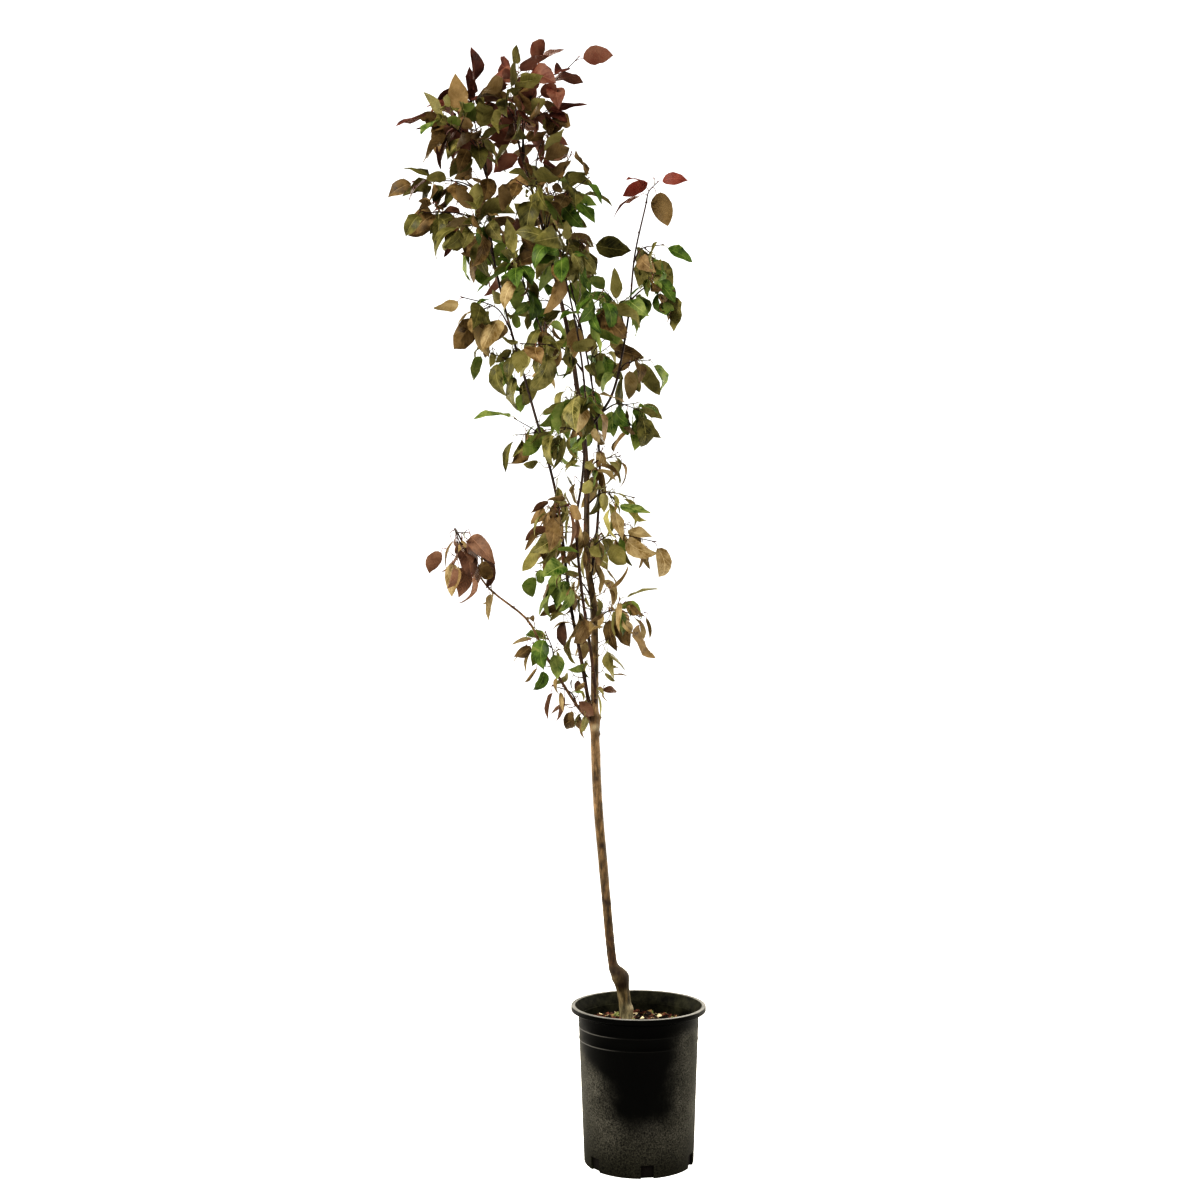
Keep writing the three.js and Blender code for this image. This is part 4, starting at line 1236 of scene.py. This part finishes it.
buds = []
for plan in plans:
    for line in (plan["stem"], *plan["spurs"], *plan["twigs"]):
        way = tangent(line, 1)
        buds.append(bud(along(line, 1) - 0.5 * way, way, 1.0 if line is plan["stem"] else 0.7))
for name in BOUGH_RADII:
    line = LIMBS[name]
    for number in range(2, int(length_of(line) / JOINT_SPACING)):
        t = number * JOINT_SPACING / length_of(line)
        way = tangent(line, t)
        out = outward(way, GOLDEN_ANGLE * number)
        buds.append(bud(along(line, t) + out * limb_radius(name, t) * 0.8, unit(way + 0.5 * out), 0.8))
for number in range(TRUNK_BUDS):
    z = FIRST_TRUNK_BUD + number * TRUNK_BUD_STEP
    t = next(i / 1000 for i in range(1001) if along(trunk_line, i / 1000)[2] >= z)
    way = tangent(trunk_line, t)
    out = outward(way, GOLDEN_ANGLE * number)
    buds.append(bud(along(trunk_line, t) + out * trunk_radius(z) * 0.85, unit(way + 0.7 * out), 0.9))
bud_scale, tree, shader, place = new_material("bud_scales", 0.45, 0.5)
scales = mottled(tree, shade("2a120e"), shade("63302a"), place, 240, 2.0, 0.5)
tree.links.new(scales["Colour"], shader.inputs["Base Color"])
bud_piece = joined("buds", buds, [bud_scale])
smooth(bud_piece, 50)


# Leaves
# The real leaves are thin, oval with a drawn-out tip, folded along a pale midrib, and droop as they curl.
# They are turning unevenly: wine red at the top, bronze and olive below, then green, and tan where they dry.
TINTS = {  # the sunny leaves of each, its darker ones, which carry painted shade as well as a darker tone, and its pale undersides
    "burgundy": ("693f33", "451a11", "785647"),
    "red": ("6c261f", "4a1410", "7e483c"),
    "maroon": ("5f4435", "3a2419", "795d4b"),
    "brown": ("6b5736", "3e2b0e", "8a7554"),
    "olive": ("676336", "33330a", "8e8758"),
    "green": ("5a6f2e", "233f0a", "868f54"),
    "tan": ("8c7953", "624e28", "ab9a77"),
    "yellow": ("a09a5c", "7c7433", "bab47f"),
}
# How the leaves of a spray of each tint are dealt out
DEALT = {
    "burgundy": {"burgundy": 0.58, "brown": 0.34, "olive": 0.04, "maroon": 0.04},
    "brown": {"brown": 0.46, "olive": 0.34, "burgundy": 0.16, "maroon": 0.04},
    "olive": {"olive": 0.56, "brown": 0.22, "green": 0.18, "tan": 0.04},
    "green": {"green": 0.6, "olive": 0.3, "brown": 0.08, "tan": 0.02},
    "tan": {"tan": 0.52, "olive": 0.2, "brown": 0.24, "green": 0.04},
    "yellow": {"yellow": 0.46, "olive": 0.28, "tan": 0.2, "green": 0.06},
    "red": {"red": 0.6, "burgundy": 0.2, "brown": 0.2},
    "maroon": {"maroon": 0.6, "brown": 0.3, "tan": 0.1},
}
SUNNY_HEIGHTS = [1350, 1750, 1950, 2100]
SUNNY_SHARES = [0.75, 0.1, 0.1, 0.5]  # of a spray's leaves, at those heights; the rest take the darker copy, a painted shade that falls mostly on the crown below its top
SMALLEST_LOW = 0.7  # a leaf near the fork, as a share of its full size
SMALL_FROM, SMALL_OVER = 60, 200  # from that height over the fork it grows, over that rise
RED_ABOVE = 2190  # the height above which no leaf is plain brown
CALM_FROM, CALM_OVER = 1880, 150  # from that height, over that rise, young leaves lie flatter and rounder
STALK_SHARE = 0.2  # of a leaf's length
BLADE_HALF_WIDTH = 0.205  # as a share of the leaf's length
CURL_SLACK = 0.035  # how much longer a curled blade is than a flat one with the same reach
BLADE_THICKNESS = 0.6
BLADE_PARTS = 3  # top, rib and underside, each with its own material
STALK_RADII = (0.85, 0.6)
RIB_HALF_WIDTH = 0.04  # as a share of the blade's half width
# A broad foot and a drawn-out tip, in shares of the blade's length and half width
BLADE_SHAPE = [
    (0.06, 0.44), (0.16, 0.8), (0.29, 1.0), (0.44, 1.0),
    (0.59, 0.87), (0.73, 0.65), (0.85, 0.37), (0.94, 0.13),
]
TOP_ACROSS = [-1, -0.52, -RIB_HALF_WIDTH, RIB_HALF_WIDTH, 0.52, 1]
UNDER_ACROSS = [0]
VEIN_PAIRS = 8
VEIN_SLANT = 0.3  # how far towards the tip a side vein has run when it reaches the edge
DRY_SHARES = {"tan": 0.6, "maroon": 0.3, "brown": 0.6, "olive": 0.6}  # of the lower leaves
# The least and the most of each way in which any, a living or a dried blade gives up its flat shape
ANY = {"full": (0.75, 1.25), "cup": (0.0, 0.5), "ripple": (0.05, 0.22), "pace": (7, 14), "edge": (0.9, 1.1)}
LIVING = {
    "narrow": (0.78, 1.14), "bend": (0.1, 2.1), "swing": (-0.5, 0.5), "twist": (-0.6, 0.6),
    "fold": (0.1, 0.8),
}
DRIED = {
    "narrow": (0.3, 0.6), "bend": (0.3, 1.8), "swing": (-0.9, 0.9), "twist": (-1.6, 1.6),
    "fold": (0.5, 1.1),
}
CALM_BEND = 1.3  # the most that a young top leaf bends
CALM_WIDER = 0.1
SET_OUT = (-0.3, 0.18)  # how a blade leaves its stalk, in shares of its swing and of its bend
LEANS = (0.95, 0.5)  # how far a leaf may roll over, low down and at the top

# A blade's faces: the foot, the tip, rows of six across the top and one down the middle of the underside
WIDE_ROW = len(TOP_ACROSS) + len(UNDER_ACROSS)
top = [[2 + WIDE_ROW * row + column for column in range(6)] for row in range(len(BLADE_SHAPE))]
under = [[row[0], row[5] + 1, row[5]] for row in top]
BLADE_FACES, BLADE_KINDS = [], []
for rows, across, is_under in ((top, 5, False), (under, 2, True)):
    for column in range(across):
        kind = 2 if is_under else (1 if column == 2 else 0)
        strip = [row[column] for row in rows]
        beside = [row[column + 1] for row in rows]
        quads = [[0, beside[0], strip[0]]]
        quads += [[strip[i], beside[i], beside[i + 1], strip[i + 1]] for i in range(len(rows) - 1)]
        quads += [[strip[-1], beside[-1], 1]]
        for face in quads:
            BLADE_FACES.append(face[::-1] if is_under else face)
            BLADE_KINDS.append(kind)
# Where each of a blade's places lies in the run of side veins
BLADE_VEINS = [0, VEIN_PAIRS] + [
    VEIN_PAIRS * (u - VEIN_SLANT * abs(s)) for u, _ in BLADE_SHAPE for s in (*TOP_ACROSS, *UNDER_ACROSS)
]


def turned_about(way, other, angle):
    """Two directions turned together in their own plane."""
    return math.cos(angle) * way + math.sin(angle) * other, math.cos(angle) * other - math.sin(angle) * way


def blade(leaf, tint):
    """A leaf blade's places: folded, arched, swung, twisted and wavy by its own dice."""
    roll = leaf["roll"]
    aim, side, face = leaf["aim"], leaf["side"], leaf["face"]
    calm = clamp((leaf["foot"][2] - CALM_FROM) / CALM_OVER)
    side, face = turned_about(side, face, mix(*LEANS, calm) * mix(-1, 1, roll()))
    dry = tint in DRY_SHARES and leaf["foot"][2] < DRY_BELOW and roll() < DRY_SHARES[tint]
    limits = {**ANY, **(DRIED if dry else LIVING)}

    def some(way):
        return mix(*limits[way], roll())

    narrow = some("narrow") + (0 if dry else CALM_WIDER * calm)
    full = some("full")
    least, most = limits["bend"]
    bend = mix(least, most if dry else mix(most, CALM_BEND, calm), roll())
    swing, twist = some("swing"), some("twist")
    folds = [some("fold") for _ in range(2)]
    cups = [some("cup") for _ in range(2)]
    waves = [(2 * math.pi * roll(), some("ripple"), some("pace")) for _ in range(2)]
    edges = [[some("edge") for _ in BLADE_SHAPE] for _ in range(2)]
    reach = leaf["size"] * (1 - STALK_SHARE) * (1 + CURL_SLACK * bend**2)
    half = leaf["size"] * BLADE_HALF_WIDTH * narrow
    places = np.zeros((2 + WIDE_ROW * len(BLADE_SHAPE), 3))
    middle = leaf["foot"] + STALK_SHARE * leaf["size"] * aim
    places[0] = middle
    aim, side = turned_about(aim, side, SET_OUT[0] * swing)
    aim, face = turned_about(aim, face, SET_OUT[1] * bend)
    at = 0.0
    for row, (u, wide) in enumerate([*BLADE_SHAPE, (1.0, 0.0)]):
        step = u - at
        aim, face = turned_about(aim, face, -bend * step)
        aim, side = turned_about(aim, side, swing * step)
        side, face = turned_about(side, face, twist * step)
        middle = middle + reach * step * aim
        at = u
        if row == len(BLADE_SHAPE):
            places[1] = middle
            break
        wide = half * wide**full
        for column, s in enumerate([*TOP_ACROSS, *UNDER_ACROSS]):
            edge = abs(s)
            start, size, pace = waves[s > 0]
            across = s * wide * (edges[s > 0][row] if edge == 1 else 1)
            ripple = size * edge * math.sin(start + pace * u)
            lift = folds[s > 0] * edge - cups[s > 0] * edge**2 + ripple
            thick = 0.0 if column in (0, 5) else BLADE_THICKNESS * (0.5 if column < 6 else -0.5)
            places[2 + WIDE_ROW * row + column] = middle + across * side + (lift * wide + thick) * face
    return places


def stalk(leaf, kind):
    """A leaf stalk: a thin three-sided tube that leaves the twig and bends down to the blade."""
    foot = leaf["grown_from"]
    end = leaf["foot"] + (STALK_SHARE + 0.03) * leaf["size"] * leaf["aim"]
    bow = foot + 0.5 * np.linalg.norm(end - foot) * unit(leaf["start"] + 0.35 * leaf["aim"])
    return tube([foot, bow, end], STALK_RADII, 3, 4, 0.5, kind)


# Side veins, at each whole step of the "vein" attribute
side_veins, given, wanted = new_group("Side veins", {"Run": "Float"}, {"Mask": "Float"})
wave = maths(side_veins, "SINE", maths(side_veins, "MULTIPLY", given["Run"], 2 * math.pi))
side_veins.links.new(eased(side_veins, wave, 0.72, 1.0), wanted["Mask"])


def leaf_material(name, dark, light, specular):
    """Mottled leaf skin with side veins, which are paler and slightly raised."""
    material, tree, shader, place = new_material(name, 0.5, specular)
    skin = mottled(tree, dark, light, place, 46, 3.0, 0.6)
    run = node(tree, "ShaderNodeAttribute", attribute_name="vein").outputs["Fac"]
    vein = group_node(tree, side_veins, run)["Mask"]
    veined = blended(tree, maths(tree, "MULTIPLY", vein, 0.4), skin["Colour"], light)
    tree.links.new(veined, shader.inputs["Base Color"])
    tree.links.new(maths(tree, "MULTIPLY_ADD", skin["Mask"], 0.22, 0.42), shader.inputs["Roughness"])
    relief(tree, shader, maths(tree, "MULTIPLY_ADD", vein, 0.8, skin["Grain"]), 0.4, 0.5)
    return material


blades = {tint: [] for tint in TINTS}
stalks = []
for plan in (*plans, *limb_plans):
    for leaf in plan["leaves"]:
        height = leaf["foot"][2]
        tint = drawn(leaf["roll"], DEALT[plan["spray"][-1]])
        if tint == "burgundy" and height < DRY_BELOW:
            tint = "maroon"
        if tint == "brown" and height > RED_ABOVE:
            tint = "burgundy"
        # Painted shade: leaves outside the sunny share take the darker copy of their tint
        shaded = BLADE_PARTS * (leaf["roll"]() > np.interp(height, SUNNY_HEIGHTS, SUNNY_SHARES))
        grown = clamp((height - FORK_HEIGHT - SMALL_FROM) / SMALL_OVER)
        leaf["size"] *= mix(SMALLEST_LOW, 1, grown)
        places = blade(leaf, tint)
        blades[tint].append((places, BLADE_FACES, [kind + shaded for kind in BLADE_KINDS]))
        stalks.append(stalk(leaf, 0 if tint in ("green", "olive", "yellow") else 1))
for tint, (sunny, shaded, pale) in TINTS.items():
    materials = []
    # A sunny copy of each tint's materials, and a darker copy with painted shade and darker undersides
    for tone, dark, light, under_bright in (
        ("sunny", shade(shaded, 1.3), shade(pale), 1.0),
        ("shaded", shade(shaded, 0.6), shade(sunny), 0.75),
    ):
        materials += [
            leaf_material(f"leaf_{tint}_{tone}", dark, light, 0.22),
            leaf_material(f"leaf_{tint}_{tone}_rib", light, shade(pale, 1.15 * under_bright), 0.2),
            leaf_material(
                f"leaf_{tint}_{tone}_under", shade(sunny, under_bright), shade(pale, under_bright), 0.1
            ),
        ]
    piece = joined("leaves_" + tint, blades[tint], materials)
    veins = piece.data.attributes.new("vein", "FLOAT", "POINT")
    veins.data.foreach_set("value", BLADE_VEINS * len(blades[tint]))
    masses = [spray[0] for spray in SPRAYS if spray[7] == tint]
    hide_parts(*masses)
    smooth(piece, 60)

stalk_materials = []
for name, dark, light in (("green_stalk", "5c5a30", "84804a"), ("red_stalk", "4a2620", "7a4a3c")):
    material, tree, shader, place = new_material(name, 0.5, 0.4)
    skin = mottled(tree, shade(dark), shade(light), place, 60, 2.0, 0.3)
    tree.links.new(skin["Colour"], shader.inputs["Base Color"])
    stalk_materials.append(material)
stalk_piece = joined("leaf_stalks", stalks, stalk_materials)
smooth(stalk_piece, 60)


# Studio floor
# A wide sheet of matt white paper that the pot stands on. It lies flat on the ground and runs out behind the
# pot into the white of the studio.
FLOOR_SIZE = 60
bpy.ops.mesh.primitive_plane_add(size=FLOOR_SIZE, location=(0, 0, -0.0002))
floor = bpy.context.object
floor.name = "studio_floor"
paper, tree, shader, place = new_material("white_paper", 0.95, 0.1)
fibre = mottled(tree, (0.86, 0.86, 0.85, 1), (0.9, 0.9, 0.89, 1), place, 3, 1.0, 0.2)
tree.links.new(fibre["Colour"], shader.inputs["Base Color"])
shader.inputs["Emission Color"].default_value = (0.7, 0.7, 0.7, 1)
seen = node(tree, "ShaderNodeLightPath").outputs["Is Camera Ray"]
tree.links.new(seen, shader.inputs["Emission Strength"])
floor.data.materials.append(paper)


# Studio light
# Large soft boxes: one high at the front left, weaker ones at the right and behind, and two upright strips
# that draw the pot's pale edges. The white walls fill in the rest.
LIGHT_TARGET = Vector((-0.15, 0, 1.1))
WARM_WHITE = (1.0, 0.955, 0.86)
WALL_FILL = 0.21
SEEN_BRIGHTER = 0.81  # how much the walls gain where the camera sees them
SOFT_BOXES = [
    # name, place, width, height and watts
    ("front_left_box", (-2.2, -2.6, 3.1), 1.5, 1.5, 173),
    ("right_box", (3.0, -1.2, 2.0), 1.6, 1.8, 53),
    ("back_left_strip", (-2.4, 1.4, 1.1), 0.7, 2.4, 46),
    ("back_right_strip", (2.4, 1.4, 1.1), 0.7, 2.4, 46),
    ("back_box", (0.7, 3.2, 2.6), 1.8, 1.8, 74),
]
for name, spot, width, tall, watts in SOFT_BOXES:
    box = bpy.data.lights.new(name, "AREA")
    box.shape = "RECTANGLE"
    box.size = width
    box.size_y = tall
    box.energy = watts
    box.color = WARM_WHITE
    lamp = bpy.data.objects.new(name, box)
    lamp.location = spot
    lamp.rotation_euler = (LIGHT_TARGET - Vector(spot)).to_track_quat("-Z", "Y").to_euler()
    bpy.context.collection.objects.link(lamp)

walls = bpy.data.worlds.new("white_studio")
walls.use_nodes = True
tree = walls.node_tree
background = tree.nodes["Background"]
seen = node(tree, "ShaderNodeLightPath").outputs["Is Camera Ray"]
glow = maths(tree, "MULTIPLY_ADD", seen, SEEN_BRIGHTER, WALL_FILL)
tree.links.new(glow, background.inputs["Strength"])
tree.links.new(blended(tree, seen, (*WARM_WHITE, 1), (1, 1, 1, 1)), background.inputs["Color"])
bpy.context.scene.world = walls
bpy.context.scene.view_settings.view_transform = "Standard"
bpy.context.scene.view_settings.look = "High Contrast"


# Camera
# The photograph was taken from 2.7 metres in front, at hip height, with a lens a little wider than normal.
# It is tilted up slightly to take in the crown.
CAMERA_PLACE = (-77.15, -2666.55, 895.42)
CAMERA_TILT = 4.7246
CAMERA_LENS = 39
camera = bpy.data.objects.new("camera", bpy.data.cameras.new("camera"))
camera.data.lens = CAMERA_LENS
camera.data.sensor_width = 36
camera.location = [value * MM for value in CAMERA_PLACE]
camera.rotation_euler = (math.radians(90 + CAMERA_TILT), 0, 0)
bpy.context.collection.objects.link(camera)
bpy.context.scene.camera = camera
